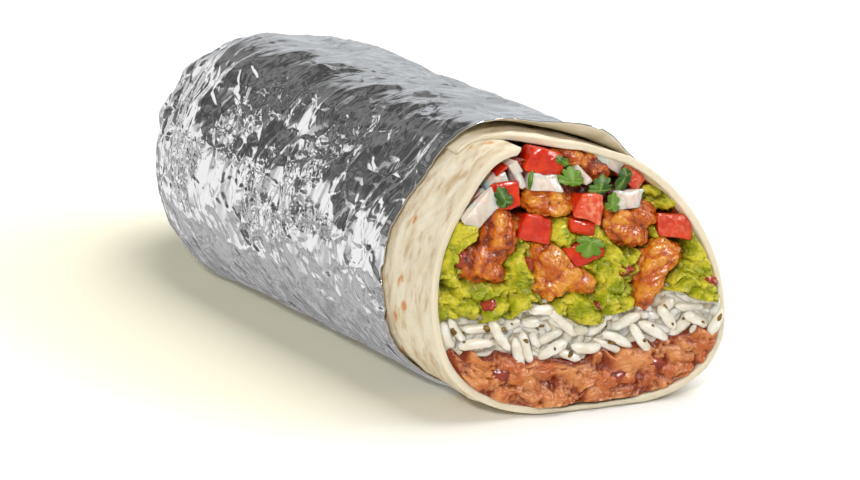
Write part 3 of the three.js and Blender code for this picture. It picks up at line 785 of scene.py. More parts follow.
@dataclass(frozen=True)
class LeafFinish:
    """Leaf green, darker in patches, with paler ribs."""

    dark: tuple = linear(44, 84, 8)
    light: tuple = linear(98, 136, 28)
    rib: tuple = linear(150, 176, 84)

    def material(self) -> Material:
        """The leaf's material."""
        shader = Surface.food("cilantro", 0.15, (0.5, 1.0, 0.2), 0.8, shine=0.4)
        patch = (shader.noise(2.4, 3.0) * 0.6 + shader.kept("tone") * 0.4).rise(0.3, 0.62)
        blade = shader.mixed(patch, self.dark, self.light)
        shader.feed("Base Color", shader.mixed(shader.kept("rib") * 0.8, blade, self.rib))
        shader.feed("Roughness", shader.noise(1.2) * 0.2 + 0.34)
        shader.raised(shader.noise(0.5, 2.0), 0.12)
        return shader.material


@dataclass(frozen=True)
class PlainFinish:
    """Food of one colour that drifts to a second: rice, herbs and beans."""

    name: str
    first: tuple
    second: tuple
    size: float
    roughness: float
    depth: float
    glow: float = 0.0
    coat: float = 0.0

    def material(self) -> Material:
        """The material."""
        shader = Surface.food(self.name, self.glow, (1.0, 0.95, 0.8), 1.4, coat=self.coat, film=0.1)
        drift = shader.noise(self.size, 3.0)
        shader.feed("Base Color", shader.mixed(drift.rise(0.35, 0.65), self.first, self.second))
        shader.feed("Roughness", drift * 0.15 + self.roughness)
        shader.raised(shader.noise(self.size / 3, 2.0), self.depth)
        return shader.material


# The first colour of each mash is painted shade for its hollows.
BEANS = MashFinish(
    "refried_beans", linear(136, 52, 18), linear(218, 145, 86), linear(190, 99, 46), 5.0, 0.2, grain=0.8
)
GUACAMOLE = MashFinish(
    "guacamole", linear(90, 80, 0), linear(214, 202, 54), linear(150, 157, 2), 4.0, 0.18, grain=0.8, depth=0.6
)
PACKED_RICE = MashFinish(
    "rice_core", linear(198, 182, 152), linear(236, 229, 211), linear(226, 216, 194), 3.0, 0.5, grain=0.8
)
# The sauce behind the chicken: reddish-brown of its own, darkened all over as painted shade of the recess it
# sits in.
SAUCE_WITH_PAINTED_SHADE = MashFinish(
    "chicken_bed", linear(70, 20, 8), linear(160, 66, 22), linear(130, 34, 14), 3.0, 0.3, grain=0.9
)
RICE = PlainFinish("rice", linear(240, 236, 224), linear(226, 216, 196), 3.0, 0.22, 0.12, glow=0.6, coat=0.25)
HERB_FLECK = PlainFinish("herb_fleck", linear(150, 110, 20), linear(90, 66, 12), 1.2, 0.4, 0.1)
WHOLE_BEAN = PlainFinish("whole_bean", linear(160, 62, 38), linear(118, 36, 20), 3.0, 0.2, 0.15, 0.1, 0.5)
TOMATO_BIT = PlainFinish("tomato_bit", linear(178, 66, 40), linear(142, 42, 24), 1.6, 0.14, 0.2, 0.15, 0.5)
TOMATO = WetFinish(
    "tomato",
    skin=linear(228, 62, 18),
    shade=linear(192, 24, 8),
    flesh=linear(224, 78, 40),
    vein=linear(240, 150, 112),
    glow=0.5,
)
ONION = WetFinish(
    "onion",
    skin=linear(236, 226, 216),
    shade=linear(228, 204, 190),
    flesh=linear(232, 221, 209),
    vein=linear(212, 190, 174),
    glow=0.95,
    vein_way=(0.8, 0.8, 0.25),
)


# ---------------------------------------------------------------- foil
@dataclass
class FoilWrap:
    """The foil: creased outside, lined inside, its near edge ragged and curled up at the top."""

    columns: int = 330
    straight_rows: int = 182
    rounded_rows: int = 92
    crumple: float = 0.7
    lining_inset: float = 0.75
    edge_strip: float = 0.2
    flank: float = 165
    radius: float = 33
    top_deg: float = 96
    top_width: float = 34
    rolled_up: float = 2.1
    flap: float = 2.3
    lip: float = 0.5
    finish: FoilFinish = FoilFinish()

    def angles(self) -> Array:
        """Angles round the roll, twice as close from the right shoulder over the top to the left foot."""
        fine = np.arange(0, 360, 0.25)
        weight = 1 + bump(fine, 146, 125) ** 0.5
        filled = np.cumsum(weight) / weight.sum()
        return np.radians(np.interp((np.arange(self.columns) + 0.5) / self.columns, filled, fine))

    def creased(self, angle: Array, y: Array) -> Array:
        """The solid's own relief from 0 to 1: short and long creases, and pleats at the closed end."""
        x, z = np.cos(angle), np.sin(angle)
        short = 0.55 * creases(x * 3.1, y / 9, z * 3.1) + 0.45 * creases(x * 1.3 + 7, y / 34, z * 1.3)
        pleated = 2 * np.abs(np.sin(angle * 6.5 + 1.7 * noise(x * 2, y / 20, z * 2))) - 1
        rear = smoothstep(y, ROLL.rear_y - ROLL.rear_length * 0.8, ROLL.rear_y - 4)
        return 0.5 + 0.5 * lerp(short, pleated, 0.8 * rear)

    def unrolled(self, angle: Array, y: Array) -> tuple[Array, Array]:
        """The sheet laid flat, in millimetres, slit along the underside.

        Returns:
            the way round the roll from the middle of the left flank, and the way along it, sheared so that
            folds sweep forward as they go up from the flank and, more steeply, as they go down from it.
        """
        arc = ((np.degrees(angle) + 90) % 360 - 90 - self.flank) * math.radians(self.radius)
        table = np.linspace(-110, 110, 441)
        slope = lerp(-0.35, 0.95, smoothstep(table, -8, 14)) * (1 - smoothstep(np.abs(table), 45, 80))
        sweep = np.cumsum(slope) * (table[1] - table[0])
        ends = np.linspace(ROLL.rounded_from, ROLL.rear_y, 400)
        reach = np.hypot(np.gradient(ends), self.radius * np.gradient(ROLL.girth(ends, 0.0)))
        length = np.interp(y, ends, ends[0] + np.cumsum(reach)) + np.minimum(y - ends[0], 0)
        swept = length + np.interp(arc, table, sweep) - np.interp(0, table, sweep)
        return arc * ROLL.girth(y, 0.0), swept

    def busyness(self, angle: Array, y: Array) -> tuple[Array, Array]:
        """How crumpled the foil is, and how calm, from 0 to 1: crumpled on the flank and in patches, calm
        on the top."""
        arc, swept = self.unrolled(angle, y)
        deg = np.degrees(angle) % 360
        top = bump(deg, 84, 48)
        patches = noise(arc / 13, swept / 15, 2.0) + 0.7 * noise(arc / 5, swept / 6, 6.0)
        flank = lerp(0.75, 1, bump(deg, 157, 36)) * lerp(1, 0.3, smoothstep(deg, 172, 192))
        busy = lerp(0.16, 1, smoothstep(patches, -0.25, 0.35)) * flank * (1 - 0.8 * top)
        busy = busy * (1 - 0.5 * bump(deg, 118, 26))
        return lerp(busy, 0.4, self.at_end(y)), top

    def at_end(self, y: Array) -> Array:
        """0 along the roll, rising to 1 at its closed end."""
        return smoothstep(y, 135, 160)

    def crinkled(self, angle: Array, y: Array) -> Array:
        """The fine relief, in millimetres: broad flat facets, narrower ones drawn out along the sweep of
        the folds, sharp ridges, small facets where the foil is crumpled, and the parcelled closed end.
        It dies away at the slit of the sheet laid flat."""
        arc, swept = self.unrolled(angle, y)
        busy, top = self.busyness(angle, y)
        a = arc + 2.5 * noise(arc / 11, swept / 11, 1.0)
        s = swept + 2.5 * noise(arc / 11, swept / 11, 9.0)

        def flats(height: float, across: float, along: float, seed: float) -> Array:
            """Flat facets of this height and these sizes in millimetres."""
            return height * facets(a / across, s / along, seed)

        seam = smoothstep(np.abs(np.degrees(angle) % 360 - 270), 3, 14)
        low = smoothstep(np.degrees(angle) % 360, 166, 190)
        rear = smoothstep(y, 125, 160)
        broad = flats(1.35, 15, 12.5, 0.3) * lerp(1, 0.4, low) * lerp(1, 0.7, top)
        middle = flats(0.85, 7.5, 5.2, 4.2) * lerp(1, 0.45, low) * lerp(1, 0.75, top)
        ridge = np.clip(1 - np.abs(noise(a / 10, s / 4.4, 21.0)) / 0.24, 0, 1)
        ridge = 0.3 * ridge * smoothstep(noise(a / 14, s / 12, 33.0), -0.35, 0.15) * lerp(1, 0.75, top)
        small = flats(0.5, 3.6, 3.0, 7.7) + flats(0.2, 1.9, 1.7, 9.1) * busy
        small = small * lerp(0.1, 1, busy)
        parcel = flats(2.2, 11, 10, 15.6) + flats(1.1, 5.5, 5, 11.6)
        return seam * ((broad + middle + ridge) * lerp(1, 0.45, rear) + small + parcel * rear)

    def edge(self, angle: Array) -> Array:
        """Y of the ragged near edge."""
        ragged = 0.5 * noise(angle * 9, 3.0, 1.0) * np.sin(angle / 2) + 0.35 * noise(angle * 26, 5.0, 1.0)
        return ROLL.foil_edge(angle) + ragged

    def over_top(self, angle: Array) -> Array:
        """1 at the middle of the top, falling to 0 at its sides."""
        return bump(np.degrees(angle) % 360, self.top_deg, self.top_width)

    def lifted(self, angle: Array, y: Array) -> Array:
        """How far the foil stands off near its edge: rolled up over the top, with a flap at its right and
        a low lip all round."""
        behind = y - self.edge(angle)

        def left_at(reach: Number) -> Array:
            """Falls from 1 at the edge to 0 this far behind it."""
            return 1 - np.clip(behind / reach, 0, 1)

        rolled_up = self.rolled_up * self.over_top(angle) ** 0.5 * left_at(8 + 3 * noise(angle * 4, 7.0, 2.0))
        flap = self.flap * bump(np.degrees(angle) % 360, ROLL.flap_deg, 20) * left_at(5) ** 1.5
        return flap + rolled_up + self.lip * left_at(3) ** 2

    def outer_inset(self, angle: Array, y: Array) -> Array:
        """Inset of the outer face: negative where a crease stands out, and thin at the edge."""
        relief = self.crumple * self.creased(angle, y) - 0.1 + self.crinkled(angle, y)
        edge = self.edge(angle)
        rising = lerp(0.1, 1, smoothstep(y, edge, edge + lerp(2.5, 8, self.over_top(angle))))
        thin = self.lining_inset - self.edge_strip
        return np.minimum(lerp(thin, -relief, rising), thin)

    def inner_inset(self, angle: Array, y: Array) -> Array:
        """Inset of the lining, the same all over."""
        return np.full(y.shape, self.lining_inset)

    def rings(self, straight: Array, rounded: Array, inset_at: Callable, floor: float) -> tuple[Array, Array]:
        """Rings of one face.

        Args:
            straight: shares of the run from the edge to where the end rounds off.
            rounded: shares of the rounded end.
            inset_at: the face's inset at angles and y.
            floor: height that nothing goes below.

        Returns:
            rings of points, and their y.
        """
        angle = self.angles()
        near = lerp(self.edge(angle), ROLL.rounded_from, straight[:, None])
        inset = inset_at(angle[None], near)
        run = ROLL.along(ROLL.outline(angle, inset - self.lifted(angle, near)), near, inset, floor)
        far = ROLL.rear(rounded[:, None], 0.0) + 0 * angle
        inset = inset_at(angle[None], far)
        end = ROLL.along(ROLL.outline(angle, inset), ROLL.rear(rounded[:, None], inset), inset, floor)
        return np.concatenate([run, end]), np.concatenate([near, far])

    def skin(self) -> Skin:
        """The outer face, from the edge to the tip, with the lining inside it and a thin strip between."""
        spread = np.linspace(0, 1, self.straight_rows)
        rounded = np.linspace(0.012, 0.985, self.rounded_rows)
        outer, outer_y = self.rings(lerp(spread, spread**1.3, 0.5), rounded, self.outer_inset, 0.0)
        inner_straight = np.array([0, 0.005, 0.015, 0.03, 0.06, 0.12, 0.25, 0.5, 1])
        inner_rounded = np.array([0.2, 0.4, 0.6, 0.75, 0.9])
        inner, inner_y = self.rings(inner_straight, inner_rounded, self.inner_inset, ROLL.foil)
        outer_rings = np.arange(len(outer) * self.columns).reshape(len(outer), -1)
        inner_rings = outer_rings.size + np.arange(len(inner) * self.columns).reshape(len(inner), -1)
        tips = [
            ROLL.along((0.0, ROLL.rear_height), np.array(ROLL.rear_y - inset), 0.0, 0.0)
            for inset in (0.0, self.lining_inset)
        ]
        points = np.concatenate([outer.reshape(-1, 3), inner.reshape(-1, 3), np.stack(tips)])
        lining = tube(inner_rings)[:, ::-1]
        quads = np.concatenate([tube(outer_rings), strip(outer_rings[0], inner_rings[0])[:, ::-1], lining])
        outer_cap = fan(outer_rings[-1], len(points) - 2, False)
        inner_cap = fan(inner_rings[-1], len(points) - 1, False)[:, ::-1]
        lined = np.arange(len(quads)) >= len(quads) - len(lining)
        values = self.values(np.concatenate([outer_y, inner_y]))
        return Skin(points, quads, np.concatenate([outer_cap, inner_cap]), values, lined.astype(int))

    def values(self, y: Array) -> dict[str, Array]:
        """What the finish reads at rings of this y, the two tips included: where a point lies on the sheet
        laid flat, in metres, how busy and calm it is there, and whether it is at the closed end."""
        angle = self.angles()[None]
        arc, swept = self.unrolled(angle, y)
        busy, calm = self.busyness(angle, y)
        kept = {"arc": arc / 1000, "swept": swept / 1000, "busy": busy, "calm": calm, "end": self.at_end(y)}
        return {name: np.append(value + 0 * y, [0.0, 0.0]) for name, value in kept.items()}

    def build(self) -> Piece:
        """The dressed foil."""
        finishes = (self.finish.outer(), self.finish.inner())
        return make_piece("foil_wrap", self.skin(), finishes, ["foil"])


# ---------------------------------------------------------------- tortilla
@dataclass
class Tortilla:
    """One sheet, rolled once round the fillings with a short lap, its near end cut across."""

    inner_edge: float = 105
    outer_edge: float = 479
    lap_end: float = 138
    edge: float = 0.9
    feathered: float = 2.2
    rim_depth: float = 0.8
    set_back: float = 12
    steps: int = 400
    filling_end: float = 162
    finish: TortillaFinish = TortillaFinish()

    def thickness(self, deg: Array) -> Array:
        """Thickness of the sheet along its roll, thinner at both of its edges."""
        inner = lerp(0.0, 2.1, np.sqrt(np.clip((deg - self.inner_edge) / self.feathered, 0, 1)))
        full = np.where(deg < self.inner_edge + 30, inner, ROLL.sheet)
        return lerp(full, self.edge, smoothstep(deg, self.outer_edge - 25, self.outer_edge))

    def inset(self, deg: Array) -> Array:
        """Inset of the sheet's outer face: under the lap it lies below the turn that covers it."""
        covered = self.thickness(np.minimum(deg, self.outer_edge - 360) + 360) - ROLL.gap
        return covered * (1 - smoothstep(deg, self.outer_edge - 360, self.lap_end))

    def loop(self) -> tuple[Array, Array, Array]:
        """The sheet's own section: a loop that runs out along its outer face and back along its inner one.

        Returns:
            degrees round the roll, inset of the sheet's middle, and how far in from the middle each lies.
        """
        feather = self.inner_edge + self.feathered
        start = self.inner_edge + self.feathered * np.linspace(0.06, 1, 8)[:-1] ** 2
        run = np.concatenate([start, np.linspace(feather, self.outer_edge, self.steps - len(start))])
        half = self.thickness(run) / 2
        middle = self.inset(run) + half
        deg = np.concatenate([run, [self.outer_edge + 0.7], run[::-1], [self.inner_edge - 0.05]])
        mid = np.concatenate([middle, middle[-1:], middle[::-1], middle[:1]])
        return deg, mid, np.concatenate([-half, [0.0], half[::-1], [0.0]])

    def rows(self, angle: Array, front: Array) -> Array:
        """Y of the rows that the loop is carried to: drawn together at the cut, which rounds the rim,
        then along the bare sheet, in under the foil and on to the rear."""
        bare = np.maximum(ROLL.foil_edge(angle) - ROLL.squeezed_over, front + 2 * self.rim_depth)
        rows = [front + behind for behind in (0, 0.06, 0.18, 0.34, 0.55, self.rim_depth)]
        rows += [lerp(front + self.rim_depth, bare, share) for share in np.linspace(0, 1, 34)[1:]]
        rows += [bare + behind for behind in np.linspace(0, 4, 8)[1:]]
        rows += [np.maximum(bare + 4, y) for y in (40, 64, 90, 108, ROLL.rounded_from, 135, 146)]
        return np.stack([*rows, np.full_like(front, self.filling_end + 1)])

    def caps(self, row: Array) -> tuple[Array, Array]:
        """Quads and triangles that close one row of the loop, facing the cut."""
        out, back = row[: self.steps], row[self.steps + 1 : -1][::-1]
        quads = np.stack([out[:-1], out[1:], back[1:], back[:-1]], axis=-1)
        return quads, np.array([row[self.steps - 1 : self.steps + 2], row[[-2, -1, 0]]])

    def skin(self) -> Skin:
        """The loop at every row, with a soft relief and blisters on its outer face, and the folded end."""
        deg, mid, side = self.loop()
        angle = np.radians(deg)
        wavy = 0.35 * noise(angle * 2.2, 1.0, 4.0) + 0.14 * noise(angle * 7, 2.0, 4.0)
        front = ROLL.cut_y(*ROLL.outline(angle, mid)) + self.set_back * smoothstep(deg, 446, 476) + wavy
        y = self.rows(angle, front)
        behind = y - front
        full = np.sqrt(np.clip(1 - (1 - np.clip(behind / self.rim_depth, 0, 1)) ** 2, 0, 1))
        relief = 0.22 * fractal(deg / 7, y / 5, 3.0) + 0.09 * noise(deg / 1.6, y / 1.3, 8.0)
        blister = 0.25 * smoothstep(noise(deg / 9, y / 6, 12.0), 0.25, 0.8)
        soft = np.where(side < 0, (relief + blister) * smoothstep(behind, 0, 3), 0)
        inset = mid + side * lerp(0.55, 1, full) - soft + ROLL.squeeze(angle, y)
        rings = ROLL.along(ROLL.outline(angle, inset), y, inset, 0.5)
        numbers = np.arange(y.size).reshape(y.shape)
        near_quads, near_ends = self.caps(numbers[0])
        far_quads, far_ends = self.caps(numbers[-1])
        quads = np.concatenate([tube(numbers), near_quads, far_quads[:, ::-1]])
        ends = np.concatenate([near_ends, far_ends[:, ::-1]])
        values = {"rim": 1 - smoothstep(behind, 0.3, 1.4), "inside": (side > 0) + 0 * y}
        flat = {name: value.ravel() for name, value in values.items()}
        return Skin(rings.reshape(-1, 3), quads, ends, flat).joined(self.folded_end())

    def folded_end(self) -> Skin:
        """The sheet's end, folded in behind the filling: the roll's own rounded end, inside the foil."""
        columns = 60
        angle = np.arange(columns) / columns * 2 * np.pi
        inset = ROLL.held + 0.1
        y = np.concatenate([[self.filling_end], ROLL.rear(np.linspace(0.56, 0.96, 12), inset)])[:, None]
        insets = np.where(y == self.filling_end, ROLL.held + 1, inset)
        rings = ROLL.along(ROLL.outline(angle, insets), y + 0 * angle, insets, insets + 0 * angle)
        numbers = np.arange(len(rings) * columns).reshape(-1, columns)
        centres = rings[[0, -1]].mean(axis=1)
        points = np.concatenate([rings.reshape(-1, 3), centres])
        caps = [fan(numbers[0], len(points) - 2, True), fan(numbers[-1], len(points) - 1, False)]
        zeros = np.zeros(len(points))
        return Skin(points, tube(numbers), np.concatenate(caps), {"rim": zeros, "inside": zeros})

    def build(self) -> Piece:
        """The dressed tortilla."""
        return make_piece("tortilla_sheet", self.skin(), [self.finish.material()], ["tortilla"])


# ---------------------------------------------------------------- what lies on the fillings
class LeafForm(Enum):
    """How a leaf's outline is cut: depth of the notches between lobes, depth of the teeth, tail's share."""

    SLIVER = (0.1, 0.04, 0.8)
    BROAD = (0.42, 0.2, 0.4)
    FEATHERY = (0.5, 0.26, 0.28)


# Half depths of the pieces, and how far the bits of tomato stand out of the guacamole.
CHICKEN_DEPTH, DICE_DEPTH, LEAF_DEPTH, BIT_DEPTH, BIT_OUT = 4, 3, 0.2, 1.6, 1.3
# Chicken: each chunk's tone, then its knobs as x, z, half length, half width, turn, out.
CHICKEN_CHUNKS = (
    (0.72, [(-17.8, 44, 7.4, 4.9, 72, 2.2), (-23, 38, 7, 4.4, 25, 1.6), (-19.8, 35, 3.6, 2.6, -30, 1.6)]),
    (0.44, [(-5, 34.5, 7, 5.2, -50, 2), (0.8, 30.8, 5, 3.2, -35, 2), (-6.8, 30.2, 4, 3.6, 20, 1.4)]),
    (0.5, [(-3.6, 49.8, 6.8, 3.7, -6, 1.2)]),
    (0.62, [(14.6, 42.2, 7, 4.9, -30, 2), (19.8, 44.6, 4, 3.3, 0, 1.6)]),
    (0.46, [(22.8, 34.4, 5.8, 4.2, 18, 2.2), (19, 29.4, 6.2, 4.1, 62, 2.2), (16.8, 25.2, 3.6, 2.7, 60, 1.8)]),
    (0.75, [(3.4, 60.2, 3.9, 2.6, -22, 0.8), (9, 56.8, 5.2, 3, -48, 0.8)]),
)
# Tomato: x, z, half length, half width, turn, out, half depth; then how far its front is flesh.
TOMATO_DICE = (
    ((-3.9, 60.1, 4.8, 3.7, -24, 1, 3.5), 0.1),
    ((-15.2, 59.6, 2.3, 1.3, 32, 0.4, 3), 0.3),
    ((-15.2, 53, 4.6, 3.7, -6, 1.2, 3.5), 0.0),
    ((-8.9, 44.6, 3.9, 3.6, -18, 1.4, 3.5), 0.2),
    ((5, 48.5, 3.5, 3.7, -16, 2.2, 3.5), 1.0),
    ((2.7, 43.6, 3.5, 1.8, -14, 0.6, 3.5), 0.1),
    ((3.4, 37.6, 4.8, 2.6, 10, 1, 3.5), 0.1),
    ((26.6, 41.4, 4.4, 3.2, -14, 1.2, 3.5), 0.5),
    ((18.6, 53.6, 3.3, 2.3, -42, 0.6, 3.5), 0.7),
)
# Onion, and whole beans: x, z, half length, half width, turn, out.
ONION_DICE = (
    (-22.4, 50.9, 5.6, 3.5, 36, 1.6),
    (-17.2, 57, 3.8, 1.4, 4, 0.6),
    (-12, 60, 2.9, 1.5, -62, 0.6),
    (-5.4, 55.1, 3.9, 2.4, -8, 1.4),
    (4.7, 55.7, 2.7, 1.3, -50, 1),
    (12.9, 58.2, 4.5, 1.9, -38, 0.4),
    (15.9, 48.7, 3.9, 2.6, -8, 1.4),
    (-10.7, 56.4, 2.9, 1.4, -76, 0.8),
)
WHOLE_BEANS = (
    (-22.8, 11.2, 4.4, 2.4, -8, 2.2),
    (6.6, 7.6, 3.4, 2.2, 18, 2.2),
    (17, 9.6, 3, 2, -20, 2.2),
)
# The spoonful of guacamole among the salsa, with its half depth last.
SPOONFUL = (25.6, 48.2, 5, 3.2, -36, 1.4, 4.5)
# Cilantro: x, z, half length, half width, turn, out; then lobes, way of the fan, form, lightness.
CILANTRO_LEAVES = (
    ((-16.5, 52.8, 2.6, 2.2, -70, 2.3), 3, 180, LeafForm.BROAD, 0.0),
    ((-0.9, 60.3, 1.9, 1.1, -30, 2), 3, 0, LeafForm.BROAD, 0.4),
    ((-9.1, 56.2, 2, 0.5, 76, 1.9), 1, 0, LeafForm.SLIVER, 0.3),
    ((1.3, 55.7, 3.4, 2.4, -15, 2), 4, 100, LeafForm.FEATHERY, 1.0),
    ((8.3, 53, 3.4, 2.3, 20, 2), 4, 60, LeafForm.FEATHERY, 0.2),
    ((15.6, 54, 3.2, 1.7, 52, 1.6), 3, 180, LeafForm.BROAD, 0.1),
    ((10.7, 48.8, 2.6, 2, 70, 2.2), 3, 0, LeafForm.FEATHERY, 0.6),
    ((3.2, 39.8, 4.1, 2.8, -10, 2.6), 3, -100, LeafForm.FEATHERY, 0.8),
)
# Bits of tomato in the guacamole: x, z, half length, half width, turn.
TOMATO_BITS = (
    (-28.8, 39.2, 2, 1.3, 60),
    (-12.2, 35.6, 2.4, 1.3, 70),
    (-22.4, 27.6, 1.8, 1.4, 20),
    (4.6, 24.4, 1.7, 1.1, 0),
    (12.5, 32.8, 1.8, 1.5, 10),
    (32.4, 28, 2.1, 1.9, 0),
)


# ---------------------------------------------------------------- fillings
def rice_base(x: Number) -> Number:
    """Height of the line between beans and rice."""
    return 13.4 + 4.4 * (x / 35) ** 2


def rice_top(x: Number) -> Number:
    """Height of the line between rice and guacamole."""
    dips = 2.6 * bump(x, -11, 7) - 4.2 * bump(x, 3, 13) + 1.6 * bump(x, 23, 7) - 2 * bump(x, 37, 8)
    return 24.2 + dips


def guacamole_top(x: Number) -> Number:
    """Height of the line between guacamole and chicken."""
    return 45.5 - 0.1 * x


# The mounds in the guacamole: x, z, reach and height.
MOUNDS = (
    (-26, 46, 5.5, 2.6),
    (-31, 38, 6, 1.8),
    (-29, 29.5, 6.5, 3),
    (-21, 28, 5, 1.8),
    (-14.5, 34, 5, 3),
    (-14, 27.5, 5, 2.6),
    (-3, 42, 4.5, 2.4),
    (0, 24.5, 6.5, 3),
    (9, 24.5, 5.5, 2.6),
    (11, 33, 6, 2.2),
    (9, 40, 4, 1.5),
    (32.5, 34, 4.5, 2),
    (30, 26, 6.5, 2.6),
)


def guacamole_mounds(x: Array, z: Array) -> Array:
    """The solid's own relief: the highest of the mounds, and broad noise."""
    x, z = np.asarray(x, float), np.asarray(z, float)
    heights = [height * bump(np.hypot(x - mx, z - mz), 0, reach) for mx, mz, reach, height in MOUNDS]
    return np.max(heights, axis=0) - 0.6 + 0.9 * noise(x / 3, 5.0, z / 3)


@dataclass
class Filling:
    """A filling that runs through the roll between two lines; without one it reaches the tortilla."""

    name: str
    node: str
    slot: str
    finish: MashFinish
    relief: Callable[[Array, Array], Array]
    across: int
    up: int
    base: Callable[[Number], Number] | None = None
    top: Callable[[Number], Number] | None = None
    ragged: float = 0.0
    pressed_out: float = 0.55
    tucked: float = -1.0
    hidden: float = 10
    shrunk: float = 0.035

    def wall(self, angle: Array) -> tuple[Array, Array]:
        """The fillings' outline: the sheet's inner face, and its second turn under the lap."""
        held = lerp(ROLL.held, ROLL.bare, smoothstep(ROLL.foil_band(angle), 10, 20))
        lapped = ROLL.lapped(angle, 90, 100)
        return ROLL.outline(angle, ROLL.sheet + ROLL.clear + held + lapped - self.pressed_out)

    def angle_at(self, height: float, side: int) -> float:
        """Angle at which the outline has a height, on the left (-1) or the right (1), by halving."""
        low, high = -np.pi / 2, np.pi / 2
        for _ in range(30):
            middle = (low + high) / 2
            turned = middle if side > 0 else np.pi - middle
            if self.wall(np.array(turned))[1] < height:
                low = middle
            else:
                high = middle
        return low if side > 0 else np.pi - low

    def line(self, height: Callable[[Number], Number], share: Array) -> tuple[float, float, Array, Array]:
        """A boundary from the left wall to the right one: its two wall angles, and x and z along it."""
        ends = []
        for side in (-1, 1):
            near = self.angle_at(height(side * 33.0), side)
            ends.append(self.angle_at(height(float(self.wall(np.array(near))[0])), side))
        (start_x, start_z), (end_x, end_z) = [self.wall(np.array(end)) for end in ends]
        x = lerp(start_x, end_x, share)
        settled = np.minimum(1, 8 * share * (1 - share))
        return *ends, x, lerp(lerp(start_z, end_z, share), height(x), settled)

    def section(self) -> tuple[Array, Array, Array, Array]:
        """Places over the section, blended from its four sides (a Coons patch), and their shares."""
        s, t = np.linspace(0, 1, self.across + 1), np.linspace(0, 1, self.up + 1)
        low = self.line(self.base, s) if self.base else None
        high = self.line(self.top, s) if self.top else None
        open_side = 0.35
        left = [low[0] if low else high[0] + open_side, high[0] if high else low[0] - open_side]
        right = [low[1] if low else high[1] - open_side, high[1] if high else low[1] + open_side]
        base = low[2:] if low else self.wall(lerp(left[0], right[0] + 2 * np.pi, s))
        top = high[2:] if high else self.wall(lerp(left[1], right[1], s))
        left_side, right_side = self.wall(lerp(*left, t)), self.wall(lerp(*right, t))

        def patch(base: Array, top: Array, left: Array, right: Array) -> Array:
            """One coordinate: blended up, plus blended across, less the blend of the corners."""
            up, across = t[:, None], s[None]
            corners = lerp(lerp(base[0], base[-1], across), lerp(top[0], top[-1], across), up)
            return lerp(base[None], top[None], up) + lerp(left[:, None], right[:, None], across) - corners

        x, z = [patch(*sides) for sides in zip(base, top, left_side, right_side)]
        return x, z, *np.meshgrid(s, t)

    def filled(self, x: Array, z: Array, y: Array, behind: float) -> Array:
        """Places carried behind the cut, where the roll is held in a little more."""
        tight = float(smoothstep(behind, 0, 9))
        section = (x * (1 - self.shrunk * tight), lerp(z, ROLL.waist, self.shrunk * tight))
        floor = ROLL.sheet + ROLL.clear + lerp(ROLL.bare, ROLL.held, tight) - self.pressed_out
        return ROLL.along(section, y, ROLL.sheet + ROLL.held + ROLL.clear, floor)

    def front(self) -> tuple[Array, Array, Array, Array]:
        """The front: x, y and z over the section, and the relief, tucked in along the filling's lines."""
        x, z, s, t = self.section()
        at_wall = smoothstep(np.minimum(s, 1 - s) * 70, 0, 1.4)
        edges = (t if self.base else 1.0) * np.ones_like(t)
        inward = np.minimum(edges, 1 - t if self.top else 1.0) * float(np.ptp(z[:, self.across // 2]))
        tuck = smoothstep(inward, 0, 1.3)
        height = lerp(-0.2, lerp(self.tucked, self.relief(x, z), tuck), at_wall)
        near_line = (1 - smoothstep(inward, 0, 4)) * at_wall
        z = z + self.ragged * near_line * noise(x / 2.2, 2.0, z / 6)
        return x, ROLL.cut_y(x, z) + ROLL.recess(x, z) - height, z, height

    def skin(self) -> Skin:
        """The front, and the walls that run from its rim to the rear."""
        x, y, z, height = self.front()
        numbers = np.arange(x.size).reshape(x.shape)
        rim = np.concatenate([numbers[0, :-1], numbers[:-1, -1], numbers[-1, :0:-1], numbers[:0:-1, 0]])
        rim_x, rim_z = x.ravel()[rim], z.ravel()[rim]
        cut = ROLL.cut_y(rim_x, rim_z)
        stations = [cut + self.hidden] + [np.full_like(cut, y) for y in (60, ROLL.rounded_from, 146, 161.4)]
        walls = np.stack([self.filled(rim_x, rim_z, station, self.hidden) for station in stations])
        ring_numbers = x.size + np.arange(len(walls) * len(rim)).reshape(-1, len(rim))
        middle = walls[-1].mean(axis=0)
        points = np.concatenate([self.filled(x, z, y, 0).reshape(-1, 3), walls.reshape(-1, 3), middle[None]])
        quads = np.concatenate([sheet_quads(numbers), tube(np.vstack([rim, ring_numbers]))])
        end = fan(ring_numbers[-1], len(points) - 1, False)
        shade = np.concatenate([self.shade(height).ravel(), np.zeros(len(points) - x.size)])
        return Skin(points, quads, end, {"height": shade})

    def shade(self, height: Array) -> Array:
        """The relief as a share from 0 in its hollows to 1 on its lumps, which the finish reads to paint
        shade into the hollows.
        """
        low, high = np.percentile(height, [8, 92])
        return np.clip((height - low) / (high - low), 0, 1)

    def build(self) -> Piece:
        """The dressed filling."""
        return make_piece(self.name, self.skin(), [self.finish.material()], [self.node])


def pressed_down(x: Array, z: Array) -> Array:
    """Where the pieces of chicken and tomato press the fillings in, from 0 to 1."""
    most = np.zeros(np.shape(x))
    pressing = [knob for _, knobs in CHICKEN_CHUNKS for knob in knobs] + [row for row, _ in TOMATO_DICE]
    for kx, kz, length, width, turn, *_ in pressing:
        u, v = turned_by(x - kx, z - kz, math.radians(turn))
        most = np.maximum(most, 1 - smoothstep(np.hypot(u / length, v / width), 0.9, 1.35))
    return most


def guacamole_relief(x: Array, z: Array) -> Array:
    """Mounds broken into lumps of three sizes, pushed about so that no row of them shows, and pressed in
    under the chicken and the tomato."""
    wx, wz = x + 1.6 * noise(x / 4, 1.0, z / 4), z + 1.6 * noise(x / 4, 8.0, z / 4)
    broken = 2.2 * lumps(wx / 4.2, wz / 3.6, 3.0) + 1.8 * lumps(wx / 2.2, wz / 1.9, 11.0)
    fine = 0.9 * lumps(wx / 1.1, wz / 1.0, 17.0)
    return guacamole_mounds(x, z) * 0.9 + broken + fine - 2.5 - 2.4 * pressed_down(x, z)


